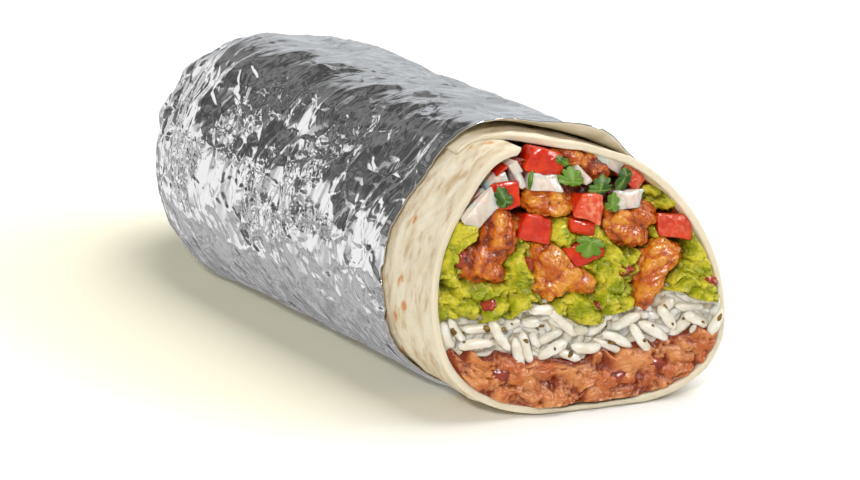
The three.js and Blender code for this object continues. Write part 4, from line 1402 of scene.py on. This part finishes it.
def beans_relief(x: Array, z: Array) -> Array:
    """Mash: soft folds, and lumps of three sizes."""
    wx, wz = x + 1.8 * noise(x / 5, 3.0, z / 5), z + 1.4 * noise(x / 5, 9.0, z / 5)
    folds = 0.7 * creases(wx / 6, 2.0, wz / 4)
    broken = 1.3 * lumps(wx / 3.4, wz / 2.8, 5.0, 0.8) + 0.8 * lumps(wx / 1.7, wz / 1.5, 19.0, 0.78)
    fine = 0.34 * lumps(wx / 0.85, wz / 0.8, 27.0, 0.78)
    return 1.1 * noise(x / 4.5, 1.0, z / 3.5) + 0.4 * folds + broken + fine - 0.4


def rice_core_relief(x: Array, z: Array) -> Array:
    """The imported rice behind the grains: small lumps."""
    return -2.2 + 0.9 * lumps(x / 2.6, z / 2.2, 23.0)


def chicken_bed_relief(x: Array, z: Array) -> Array:
    """The filling behind the pieces: sunk, in lumps, and filled in under the lap."""
    filled_in = 4.6 * bump(np.hypot(x + 8.5, z - 63), 0, 9)
    broken = 2.2 * lumps(x / 4.4, z / 4.0, 29.0) + 0.7 * lumps(x / 1.9, z / 1.7, 37.0)
    return -6.4 + filled_in + 0.6 * noise(x / 4, 9.0, z / 4) + broken


def build_fillings() -> Material:
    """Builds the four fillings, from the bottom up.

    Returns:
        the guacamole's material.
    """
    low, middle, high = rice_base, rice_top, guacamole_top
    beans, mash, bed = "refried_beans", "guacamole", "chicken_filling"
    Filling("beans_mash", beans, beans, BEANS, beans_relief, 280, 90, None, low, 1.6, tucked=0.2).build()
    Filling("rice_core", "rice", "rice", PACKED_RICE, rice_core_relief, 160, 30, low, middle, 1.2).build()
    green = Filling("guacamole_mash", mash, mash, GUACAMOLE, guacamole_relief, 290, 110, middle, high, 1.4)
    made = green.build()
    Filling("chicken_bed", bed, "chicken", SAUCE_WITH_PAINTED_SHADE, chicken_bed_relief, 130, 60, high).build()
    return made.data.materials[0]


# ---------------------------------------------------------------- pieces at the cut
def at_cut(x: Number, z: Number, turn: Number, u: Array, v: Array, w: Array, free: bool = False) -> Array:
    """Places at the cut from a piece's own axes.

    Args:
        x: the piece's middle in the section.
        z: its height.
        turn: its turn, in radians.
        u: how far along the piece.
        v: how far across it.
        w: how far out from the fillings.
        free: whether it may reach over the sheet's rim.

    Returns:
        points, the last axis being x, y and z.
    """
    du, dv = turned_by(u, v, -turn)
    px, pz = x + du, z + dv
    if not free:
        px, pz = ROLL.held_in(px, pz)
    return np.stack(np.broadcast_arrays(px, ROLL.cut_y(px, pz) + ROLL.recess(x, z) - w, pz), axis=-1)


@dataclass(frozen=True)
class Spot:
    """Where a piece lies at the cut: its middle, its half sizes, its turn and how far it stands out."""

    x: float
    z: float
    length: float
    width: float
    turn: float
    out: float
    depth: float

    def place(self, u: Array, v: Array, w: Array) -> Array:
        """Places from the piece's own axes: u along it, v across it, w out from the fillings."""
        return at_cut(self.x, self.z, math.radians(self.turn), u, v, w)


@dataclass
class CutPiece:
    """A piece that shows at the cut; without a solid it only lies on another piece."""

    name: str
    slot: str
    finish: Material
    solid: str | None

    def skin(self) -> Skin:
        """The piece's skin."""
        raise NotImplementedError

    def build(self) -> Piece:
        """The dressed piece."""
        replaces = [self.solid] if self.solid else []
        return make_piece(self.name, self.skin(), [self.finish], replaces)


class Stream:
    """A repeatable stream of draws from 0 to 1: the last state times a constant, plus another."""

    def __init__(self, seed: int) -> None:
        """Starts at a seed."""
        self.state = seed

    def draw(self) -> float:
        """The next draw."""
        self.state = (self.state * 1664525 + 1013904223) % 4294967296
        return self.state / 4294967296


@dataclass
class Chunk(CutPiece):
    """An uneven chunk: one skin round rounded knobs that blend into each other."""

    knobs: list[Spot]
    tone: float = 0.5
    detail: int = 6
    rough: float = 0.08
    grainy: float = 0.8

    def reach(self, knob: Spot, start: Array, ways: Array) -> Array:
        """Distance from the middle to where each way leaves a knob, an ellipsoid; 0 if it misses it."""
        c, s = math.cos(math.radians(knob.turn)), math.sin(math.radians(knob.turn))
        turned = np.array([[c, s, 0], [-s, c, 0], [0, 0, 1]]) / [[knob.length], [knob.width], [knob.depth]]
        origin = turned @ (start - [knob.x, knob.z, knob.out - knob.depth])
        step = ways @ turned.T
        a, b, k = (step**2).sum(-1), step @ origin, origin @ origin - 1
        root = b * b - a * k
        return np.where(root > 0, np.maximum(0, (np.sqrt(np.maximum(root, 0)) - b) / a), 0)

    def skin(self) -> Skin:
        """The skin: for each way out of the middle, the knobs' reaches blended by a high power mean, made
        uneven, and grained by lumps and by fibres drawn out along the chunk."""
        ways, triangles = ball(self.detail)
        weights = np.array([knob.length * knob.width for knob in self.knobs])
        middle = sum(
            w * np.array([k.x, k.z, k.out - k.depth]) for w, k in zip(weights / weights.sum(), self.knobs)
        )
        reaches = sum(self.reach(knob, middle, ways) ** 8 for knob in self.knobs) ** (1 / 8)
        x, z, w = ways.T
        reaches = reaches * (1 + self.rough * noise(x * 2.3 + middle[0], z * 2.3 + middle[1], w * 2.3))
        a, b, c = (ways * reaches[:, None]).T
        along, over = turned_by(a, b, math.radians(self.knobs[0].turn))
        seed = middle[0] * 0.37
        lumpy = 1.5 * np.abs(noise(along / 3.8 + seed, over / 3.0, c / 3.0))
        lumpy = lumpy + 0.65 * np.abs(noise(along / 1.7, over / 1.2 + seed, c / 1.2))
        fibres = 0.3 * noise(along / 2.4, over / 0.6, c / 0.6 + seed)
        grown = reaches + self.grainy * (lumpy - 0.75 + fibres)
        points = at_cut(middle[0], middle[1], 0, x * grown, z * grown, middle[2] + w * grown)
        tone = self.tone + 0.25 * noise(a / 5 + seed, b / 5, c / 5)
        # the height also drives the painted shade in the hollows of the chicken and of the guacamole spoonful
        return Skin(points, triangles=triangles, values={"tone": tone, "height": np.clip(lumpy / 1.2, 0, 1)})


def cube_grid(cells: int) -> tuple[Array, Array]:
    """Points and quads of a cube from -1 to 1, its grid drawn together toward the edges."""
    t = np.linspace(-1, 1, cells + 1)
    t = np.sign(t) * (1 - (1 - np.abs(t)) ** 1.7)
    p, q = np.meshgrid(t, t)
    face = sheet_quads(np.arange(p.size).reshape(p.shape))
    sides, quads = [], []
    for axis in range(3):
        for sign in (-1, 1):
            quads.append((face if sign > 0 else face[:, ::-1]) + len(sides) * p.size)
            sides.append(np.roll([np.full_like(p, sign), p, q], axis, axis=0).reshape(3, -1).T)
    return np.concatenate(sides), np.concatenate(quads)


@dataclass
class Dice(CutPiece):
    """A dice cut with a knife: an uneven box with slightly rounded edges."""

    spot: Spot
    flesh: float
    rounding: float
    dome: float
    taper: float = 0.68
    cells: int = 16

    def rounded(self, cube: Array, halves: Array) -> Array:
        """The cube's points with its edges drawn onto arcs."""
        margin = self.rounding / halves
        inner = np.clip(cube, margin - 1, 1 - margin)
        offset = (cube - inner) / margin
        return inner + margin * offset / np.maximum(np.linalg.norm(offset, axis=1, keepdims=True), 1e-9)

    def warped(self, rounded: Array, halves: Array) -> Array:
        """The rounded cube's points, pulled so that its eight corners lie where the draws put them."""
        stream = Stream(round(1000 + 37 * self.spot.x + 11 * self.spot.z))
        made = np.zeros_like(rounded)
        for n in range(8):
            size = np.array([half * (0.72 + 0.4 * stream.draw()) for half in halves])
            sign = np.array([1 if n & bit else -1 for bit in (1, 2, 4)])
            made += np.prod((1 + sign * rounded) / 2, axis=1)[:, None] * sign * size
        uneven = 0.55 * noise(*(made / 3.4 + self.spot.x).T) + 0.14 * noise(*(made / 1.2 + self.spot.z).T)
        return made * (1 + uneven / halves.mean())[:, None]

    def skin(self) -> Skin:
        """The skin: the warped cube, narrowed toward its hidden back and domed at its front."""
        halves = np.array([self.spot.length, self.spot.width, self.spot.depth])
        cube, quads = cube_grid(self.cells)
        rounded = self.rounded(cube, halves)
        u, v, w = self.warped(rounded, halves).T
        narrowed = lerp(self.taper, 1, (1 + cube[:, 2]) / 2)
        dome = self.dome * (1 - cube[:, 0] ** 2) * (1 - cube[:, 1] ** 2) * smoothstep(rounded[:, 2], 0, 1)
        points = self.spot.place(u * narrowed, v * narrowed, w + dome + self.spot.out - self.spot.depth)
        values = {"flesh": smoothstep(rounded[:, 2], 0.8, 0.97) * self.flesh}
        return merged(Skin(points, quads, values=values))


def merged(skin: Skin) -> Skin:
    """A skin with the points that lie on each other joined."""
    _, first, number = np.unique(np.round(skin.points, 5), axis=0, return_index=True, return_inverse=True)
    number = number.ravel()
    values = {name: value[first] for name, value in skin.values.items()}
    return Skin(skin.points[first], number[skin.quads], number[skin.triangles], values)


@dataclass
class Leaf(CutPiece):
    """A thin wavy leaf of cilantro: toothed lobes fanned out from its stem."""

    spot: Spot
    lobes: int
    stem: float
    form: LeafForm
    lightness: float
    spokes: int = 132
    rings: int = 9

    def skin(self) -> Skin:
        """Two faces on rings of spokes round a middle near the stem. The rim is a heart shape, cut in by
        powers of cosines between its lobes and teeth; the blade waves, and is creased along the ribs."""
        angle = np.arange(self.spokes) / self.spokes * 2 * np.pi - np.pi
        notch, tooth, tail = self.form.value
        lobe = np.abs(np.cos(self.lobes * angle / 2))
        toothed = np.abs(np.cos(3 * self.lobes * angle / 2)) ** 0.55
        heart = tail + (1 - tail) * np.cos(angle / 2) ** 2
        rim = 1.5 * heart * (1 - notch * (1 - lobe**0.36)) * (1 - tooth * (1 - toothed))
        rim = rim * (1 + 0.12 * lattice(np.round(self.lobes * angle / 2 / np.pi), self.spot.x, 2.0))
        share = np.linspace(0, 1, self.rings + 1)[1:, None]
        reach = share * lerp(1.25 * heart, rim, share**0.7)
        stem, back = math.radians(self.stem), 0.45 * (1 - tail)
        middle_u = -self.spot.length * back * math.cos(stem)
        middle_v = -self.spot.width * back * math.sin(stem)
        u = self.spot.length * reach * np.cos(angle + stem) + middle_u
        v = self.spot.width * reach * np.sin(angle + stem) + middle_v
        curl = 0.5 * noise(u / 2.2 + self.spot.x, v / 2.2, 3.0) * share - 0.35 * share**2
        wave = 0.2 * (1 - lobe**3) * share + curl
        faces = []
        for half_thick in (0.1, -0.1):
            out = self.spot.out + half_thick
            blade = self.spot.place(u, v, out - half_thick * 0.6 * share**4 + wave)
            faces += [blade.reshape(-1, 3), self.spot.place(middle_u, middle_v, out)[None]]
        numbers = np.arange(self.rings * self.spokes).reshape(self.rings, -1)
        count = numbers.size + 1
        blade, middle = tube(numbers), fan(numbers[0], numbers.size, True)
        quads = [blade, blade[:, ::-1] + count, strip(numbers[-1], numbers[-1] + count)]
        triangles = [middle, middle[:, ::-1] + count]
        rib = np.append(lobe**16 * (1 - 0.7 * share), 1.0)
        values = {"rib": np.tile(rib, 2), "tone": np.full(2 * count, self.lightness)}
        return Skin(np.concatenate(faces), np.concatenate(quads), np.concatenate(triangles), values)


# ---------------------------------------------------------------- rice
# The grains of rice that lie in front: x and z of both ends, full width, how far out.
FRONT_GRAINS = (
    (-34.4, 24.6, -32.7, 17.9, 2.8, 0.9),
    (-33.0, 25.4, -29.9, 19.4, 2.2, 1.5),
    (-31.6, 18.7, -23.0, 18.8, 2.7, 2.0),
    (-30.0, 22.4, -22.6, 22.0, 2.5, 0.9),
    (-22.9, 24.2, -19.6, 16.4, 2.9, 2.1),
    (-19.0, 21.6, -14.9, 23.0, 2.8, 0.6),
    (-15.0, 21.9, -10.3, 22.2, 2.6, 0.9),
    (-13.6, 25.6, -7.2, 25.2, 2.7, 2.5),
    (-8.6, 25.6, -2.4, 18.2, 2.6, 2.2),
    (-17.4, 19.2, -17.2, 11.9, 2.8, 2.1),
    (-15.3, 20.4, -14.3, 12.4, 2.7, 1.5),
    (-12.6, 20.0, -11.4, 15.8, 2.2, 0.5),
    (-11.4, 16.8, -4.4, 19.4, 2.4, 0.2),
    (-12.2, 13.4, -4.4, 17.2, 2.7, 1.7),
    (-6.8, 14.6, -1.6, 12.4, 2.6, 1.5),
    (-4.0, 15.6, 3.8, 14.6, 3.0, 2.4),
    (-9.9, 24.2, -9.3, 19.6, 2.2, -0.3),
    (-17.4, 20.6, -12.0, 20.0, 2.2, -0.3),
    (0.6, 17.6, 6.4, 21.0, 2.7, 0.9),
    (4.6, 18.2, 11.8, 13.9, 2.6, 1.9),
    (2.6, 16.6, 11.4, 11.2, 2.3, 1.3),
    (7.4, 18.4, 15.2, 21.6, 2.7, 1.2),
    (11.9, 19.6, 15.4, 12.5, 2.7, 2.4),
    (14.2, 19.6, 21.1, 14.6, 3.0, 2.0),
    (14.8, 21.4, 17.6, 20.7, 2.0, 0.6),
    (19.7, 23.0, 22.8, 17.2, 2.8, 2.4),
    (20.4, 21.4, 24.2, 24.2, 2.5, 1.1),
    (22.0, 15.4, 28.4, 20.8, 2.7, 1.3),
    (25.4, 20.8, 30.8, 17.4, 2.9, 2.0),
    (26.3, 13.8, 29.6, 18.2, 2.3, 1.1),
    (24.0, 22.4, 31.4, 21.2, 2.3, 0.3),
    (30.2, 14.8, 36.2, 21.0, 2.5, 1.8),
    (21.6, 19.8, 26.2, 21.6, 2.3, 0.1),
    (9.0, 17.4, 12.4, 18.2, 2.3, -0.2),
    (5.8, 20.9, 8.8, 21.6, 1.9, 0.1),
    (16.8, 21.0, 20.4, 19.9, 2.2, 0.3),
    (-25.0, 25.2, -20.5, 20.2, 2.4, -0.4),
    (-28.4, 24.6, -24.0, 20.4, 2.3, -0.6),
    (17.0, 18.6, 23.6, 15.9, 2.4, 0.4),
    (-2.4, 18.6, 2.8, 18.8, 2.5, 0.4),
)
# Flecks of herb on the grains: x, z, half length, half width, turn.
HERB_FLECKS = (
    (-32.4, 22.7, 1.3, 0.9, 75),
    (-31.8, 20.7, 0.5, 0.35, 80),
    (-30.2, 21.9, 0.4, 0.3, 10),
    (-30.3, 19.7, 0.5, 0.35, 80),
    (-24.0, 22.0, 0.95, 0.8, -10),
    (-20.5, 21.6, 0.9, 0.45, 30),
    (-18.9, 17.2, 1.4, 0.35, 75),
    (-17.6, 22.5, 0.3, 0.25, 0),
    (-15.0, 18.4, 0.7, 0.55, -20),
    (-12.9, 16.4, 1.6, 0.3, 80),
    (-10.0, 21.0, 1.0, 0.5, 0),
    (-8.3, 15.8, 0.35, 0.5, 0),
    (-4.4, 14.0, 1.0, 0.5, 50),
    (6.8, 15.7, 1.2, 0.5, 5),
    (6.5, 19.4, 0.5, 1.0, 0),
    (14.2, 15.6, 0.7, 0.5, 20),
    (17.0, 18.6, 0.7, 0.5, 15),
    (21.8, 18.8, 0.35, 0.5, 0),
    (21.4, 22.6, 0.4, 0.7, 20),
    (25.5, 19.7, 0.9, 0.35, 25),
    (29.2, 18.7, 0.4, 0.3, -20),
    (31.9, 16.3, 0.35, 0.35, 0),
    (33.5, 19.3, 1.1, 0.45, 50),
)


@dataclass
class Grains:
    """Loose grains of cooked rice over the rice's core, with flecks of herb on them."""

    sides: int = 10
    stations: int = 9
    slim: float = 0.94
    flat: float = 0.88

    def rows(self) -> Array:
        """Every grain as x, z, half length, turn, radius and out: those in front, and a seeded fill
        behind them, spread over the rice in five staggered rows."""
        x1, z1, x2, z2, width, out = np.array(FRONT_GRAINS).T
        half, turn = np.hypot(x2 - x1, z2 - z1) / 2, np.arctan2(z2 - z1, x2 - x1)
        front = np.column_stack([(x1 + x2) / 2, (z1 + z2) / 2, half, turn, width / 2, out])
        draws = np.random.default_rng(20)
        column, level = [v.ravel() for v in np.meshgrid(np.arange(15), np.linspace(0.08, 0.92, 5))]
        count = len(column)
        x = lerp(-34.5, 36, (column + 0.5 + 0.7 * (draws.random(count) - 0.5)) / 15)
        z = lerp(rice_base(x), rice_top(x), level) + draws.normal(0, 0.5, count)
        spans = ((3.3, 4.3), (-1.4, 1.4), (1.1, 1.3), (-1.3, 0.1))
        return np.vstack([front, np.column_stack([x, z, *[draws.uniform(*span, count) for span in spans]])])

    def girth(self, radius: Array, share: Array) -> Array:
        """Radius of a grain at a share of its half length: its outline is a blunt spindle."""
        return self.slim * radius * (1 - np.clip(np.abs(share), 0, 1) ** 3.6) ** 0.5

    def skin(self) -> Skin:
        """The grains: each a spindle, flattened a little, slightly bent, and set down at the cut."""
        rows = self.rows()
        count = len(rows)
        draws = np.random.default_rng(41)
        x, z, half, turn, radius, out = [v[:, None, None] for v in rows.T]
        share = np.linspace(-0.97, 0.97, self.stations)[None, :, None]
        angle = (np.arange(self.sides) / self.sides * 2 * np.pi)[None, None, :]
        bent = draws.uniform(-0.5, 0.5, (count, 1, 1)) * (share**2 - 0.4)
        pinch = 1 + draws.uniform(-0.1, 0.1, (count, self.stations, 1))
        lopsided = 1 + 0.12 * share * draws.uniform(-1, 1, (count, 1, 1))
        across = self.girth(radius, share) * pinch * lopsided
        lean = draws.uniform(-0.12, 0.12, (count, 1, 1)) * half * share + out - radius

        def with_tips(rings: Array, tips: Array) -> Array:
            """Values of each grain's rings, then those of its two tips."""
            return np.concatenate([(rings + 0 * angle).reshape(count, -1), tips.reshape(count, 2)], axis=1)

        u = with_tips(half * share, half * np.array([[[-1], [1]]]))
        v = with_tips(across * np.cos(angle) + bent, bent[:, [0, -1]])
        w = with_tips(across * self.flat * np.sin(angle) + lean, lean[:, [0, -1]])
        points = at_cut(x[:, 0], z[:, 0], turn[:, 0], u, v, w)
        rings = np.arange(self.stations * self.sides).reshape(self.stations, -1)
        caps = np.concatenate([fan(rings[0], rings.size, False), fan(rings[-1], rings.size + 1, True)])
        return repeat_skin(points, tube(rings)[:, ::-1], caps)

    def top_at(self, x: Array, z: Array) -> Array:
        """How far the grains stand out at a place: the highest grain's own section there."""
        gx, gz, half, turn, radius, out = self.rows().T
        along, over = turned_by(x[:, None] - gx, z[:, None] - gz, turn)
        rise = np.sqrt(np.clip(self.girth(radius, along / half) ** 2 - over**2, 0, None))
        return np.where(rise > 0, out - radius + self.flat * rise, -2.5).max(axis=1)

    def fleck_skin(self) -> Skin:
        """The flecks: thin uneven discs of eight sides that lie on the grains."""
        sides = 8
        x, z, length, width, turn = [v[:, None] for v in np.array(HERB_FLECKS).T]
        out = self.top_at(x[:, 0], z[:, 0])[:, None]
        ring = np.arange(sides)
        angle = ring / sides * 2 * np.pi
        uneven = 1 + 0.22 * lattice(np.arange(len(x))[:, None], ring[None], 3.0)
        u, v = length * uneven * np.cos(angle), width * uneven * np.sin(angle)
        face = at_cut(x, z, np.radians(turn), u * 0.8, v * 0.8, out + 0.16, free=True)
        layers = [face, at_cut(x, z, np.radians(turn), u, v, out - 0.3, free=True)]
        centres = [layer.mean(axis=1, keepdims=True) for layer in layers]
        triangles = np.concatenate([fan(ring, 2 * sides, True), fan(ring + sides, 2 * sides + 1, False)])
        return repeat_skin(np.concatenate([*layers, *centres], axis=1), strip(ring, ring + sides), triangles)

    def build(self) -> list[Piece]:
        """The dressed grains and flecks."""
        grains = make_piece("rice_grains", self.skin(), [RICE.material()])
        return [grains, make_piece("rice_herbs", self.fleck_skin(), [HERB_FLECK.material()])]


# ---------------------------------------------------------------- salsa and chicken
def build_salsa(guacamole: Material) -> None:
    """Builds the pieces that show at the cut, on the fillings.

    Args:
        guacamole: the guacamole's material, for the spoonful among the salsa.
    """
    finish = ChickenFinish().material()
    for n, (tone, knobs) in enumerate(CHICKEN_CHUNKS, 1):
        spots = [Spot(*knob, CHICKEN_DEPTH) for knob in knobs]
        Chunk(f"chicken_chunk_{n}", "chicken", finish, f"chicken_{n}", spots, tone).build()
    finish = TOMATO.material()
    for n, (row, flesh) in enumerate(TOMATO_DICE, 1):
        spot = Spot(*row)
        Dice(f"tomato_dice_{n}", "tomato", finish, f"tomato_{n}", spot, flesh, rounding=0.7, dome=0.4).build()
    finish = ONION.material()
    for n, row in enumerate(ONION_DICE, 1):
        spot = Spot(*row, DICE_DEPTH)
        Dice(f"onion_dice_{n}", "onion", finish, f"onion_{n}", spot, 0.8, rounding=0.5, dome=0.3).build()
    finish = LeafFinish().material()
    for n, (row, *form) in enumerate(CILANTRO_LEAVES, 1):
        spot = Spot(*row, LEAF_DEPTH)
        Leaf(f"cilantro_leaf_{n}", "cilantro", finish, f"cilantro_{n}", spot, *form).build()
    finish = WHOLE_BEAN.material()
    for n, row in enumerate(WHOLE_BEANS, 1):
        spots = [Spot(*row, DICE_DEPTH)]
        Chunk(f"bean_chunk_{n}", "whole_bean", finish, f"bean_{n}", spots, detail=5, grainy=0.2).build()
    spots = [Spot(*SPOONFUL)]
    Chunk("guacamole_spoonful", "guacamole", guacamole, "guacamole_dab", spots, rough=0.2, grainy=1.4).build()
    finish = TOMATO_BIT.material()
    for n, (x, z, *form) in enumerate(TOMATO_BITS, 1):
        out = float(guacamole_mounds(np.array(x), np.array(z))) + BIT_OUT
        spots = [Spot(x, z, *form, out, BIT_DEPTH)]
        Chunk(f"tomato_bit_{n}", "tomato", finish, None, spots, detail=5, rough=0.3, grainy=0.45).build()


# ---------------------------------------------------------------- studio
@dataclass(frozen=True)
class Studio:
    """A pale floor with a painted shadow tint round the roll, a soft studio and the camera, in millimetres
    and degrees; the floor's lengths and the lights are in metres."""

    azimuth: float = -31.96
    elevation: float = 18.13
    distance: float = 794.15
    target: tuple = (-15.64, 44.85, 32.34)
    lens: float = 131.44
    sensor: float = 36.0
    floor_size: float = 9.0
    floor_tone: tuple = (0.95, 0.94, 0.91, 1)
    floor_shadow_tint: tuple = (0.95, 0.91, 0.71, 1)
    shadow_tint_reach: tuple = (0.04, 0.085)
    lit_point: tuple = (0, -0.03, 0.03)
    room_tone: tuple = (1.0, 0.988, 0.97, 1)
    window_tone: tuple = (0.955, 0.99, 1.02, 1)
    ground_tone: tuple = (1.0, 0.985, 0.99, 1)

    def floor(self) -> None:
        """The floor, a pale plane, tinted yellow in an oval round the roll as a painted shadow tint."""
        half = self.floor_size / 2
        corners = [(-half, -half, 0), (half, -half, 0), (half, half, 0), (-half, half, 0)]
        mesh = bpy.data.meshes.new("floor")
        mesh.from_pydata(corners, [], [(0, 1, 2, 3)])
        piece = in_scene("floor", mesh)
        piece.visible_glossy = False
        shader = Surface("floor", Roughness=0.9, Specular_IOR_Level=0.1)
        # painted shadow tint: yellow near the roll where its shadow falls, fading to the plain pale tone
        # beyond
        oval = shader.stretched((1.0, 0.6, 1.0), (0.045, -0.018, 0.0))
        away = shader.vector("LENGTH", oval)[1]
        clear_of_shadow_tint = Value(shader, away).rise(*self.shadow_tint_reach)
        shader.feed("Base Color", shader.mixed(clear_of_shadow_tint, self.floor_shadow_tint, self.floor_tone))
        mesh.materials.append(shader.material)

    def light(
        self, name: str, place: tuple, size: float, power: float, lighting: bool = True, mirrored: bool = True
    ) -> None:
        """An area light that faces the roll.

        Args:
            name: the light's name.
            place: where it stands, in metres.
            size: its side, in metres.
            power: its power, in watts.
            lighting: whether it lights matt surfaces.
            mirrored: whether bright surfaces mirror it.
        """
        data = bpy.data.lights.new(name, "AREA")
        data.size, data.energy = size, power
        lamp = in_scene(name, data)
        lamp.visible_diffuse, lamp.visible_glossy = lighting, mirrored
        lamp.location = place
        way = Vector(self.lit_point) - Vector(place)
        lamp.rotation_euler = way.to_track_quat("-Z", "Y").to_euler()

    def world(self) -> None:
        """The room: a bright band behind at the horizon, dark above it, pale to the right and below."""
        world = bpy.data.worlds.new("studio")
        bpy.context.scene.world = world
        graph = Graph(world)
        way = graph.node("ShaderNodeTexCoord").outputs["Generated"]

        def facing(azimuth: float) -> Value:
            """Cosine of the angle to a level direction, its azimuth in degrees from +Y toward +X."""
            turn = math.radians(azimuth)
            return Value(graph, graph.vector("DOT_PRODUCT", way, (math.sin(turn), math.cos(turn), 0))[1])

        height = Value(graph, graph.node("ShaderNodeSeparateXYZ", None, {0: way}).outputs[2])
        right = facing(75).rise(0.3, 0.62)
        behind = facing(-20).rise(-0.1, 0.5)
        cloud = Value(graph, graph.node("ShaderNodeTexNoise", None, {"Vector": way, "Scale": 4.0}).outputs[0])
        dark = cloud.rise(0.4, 0.62) * 0.16 + 0.07
        front = cloud.rise(0.36, 0.64) * 0.34 + 0.13
        sky = graph.blend(behind, front, graph.blend(right, dark, cloud * 0.4 + 0.36))
        band = height.rise(-0.26, -0.19) * height.rise(0.22, 0.16)
        level = graph.blend(height.rise(-0.02, -0.24), sky, cloud.rise(0.38, 0.66) * 0.24 + 0.3)
        horizon = graph.blend(right, facing(10).rise(0.1, 0.7) * 0.45 + 0.54, 0.7)
        level = graph.blend(band * behind, level, horizon)
        tint = graph.mixed(right, self.room_tone, self.window_tone)
        tint = graph.mixed(height.rise(-0.1, -0.3), tint, self.ground_tone)
        background = graph.node("ShaderNodeBackground", None, {"Color": tint, "Strength": level})
        graph.node("ShaderNodeOutputWorld", None, {"Surface": background.outputs[0]})

    def camera(self) -> None:
        """The camera, at its angle and distance from the target."""
        azimuth, elevation = math.radians(self.azimuth), math.radians(self.elevation)
        right = Vector((math.cos(azimuth), math.sin(azimuth), 0))
        level = math.cos(elevation)
        ahead = Vector((-math.sin(azimuth) * level, math.cos(azimuth) * level, -math.sin(elevation)))
        up = right.cross(ahead)
        target = Vector(ROLL_FRAME.to_part(np.array(self.target)))
        data = bpy.data.cameras.new("camera")
        data.lens, data.sensor_width, data.sensor_fit = self.lens, self.sensor, "HORIZONTAL"
        data.clip_start, data.clip_end = 0.01, 50
        camera = in_scene("camera", data)
        turned = Matrix((right, up, -ahead)).transposed().to_4x4()
        camera.matrix_world = Matrix.Translation(target - ahead * self.distance / 1000) @ turned
        bpy.context.scene.camera = camera

    def build(self) -> None:
        """Sets the studio up."""
        self.floor()
        self.world()
        self.light("key", (0.8, 0.1, 1.6), 1.7, 37.5, mirrored=False)
        self.light("front", (-0.85, -0.85, 0.8), 0.2, 9.5, mirrored=False)
        self.light("sparkle", (0.25, -1.0, 1.0), 0.4, 15.0, lighting=False)
        self.camera()
        bpy.context.scene.view_settings.view_transform = "Standard"


# ---------------------------------------------------------------- build
def main() -> None:
    """Builds the burrito from the outside in, then the studio."""
    logging.basicConfig(level=logging.INFO, format="%(name)s: %(message)s")
    FoilWrap().build()
    Tortilla().build()
    guacamole = build_fillings()
    Grains().build()
    build_salsa(guacamole)
    Studio().build()


if __name__ == "__main__":
    main()
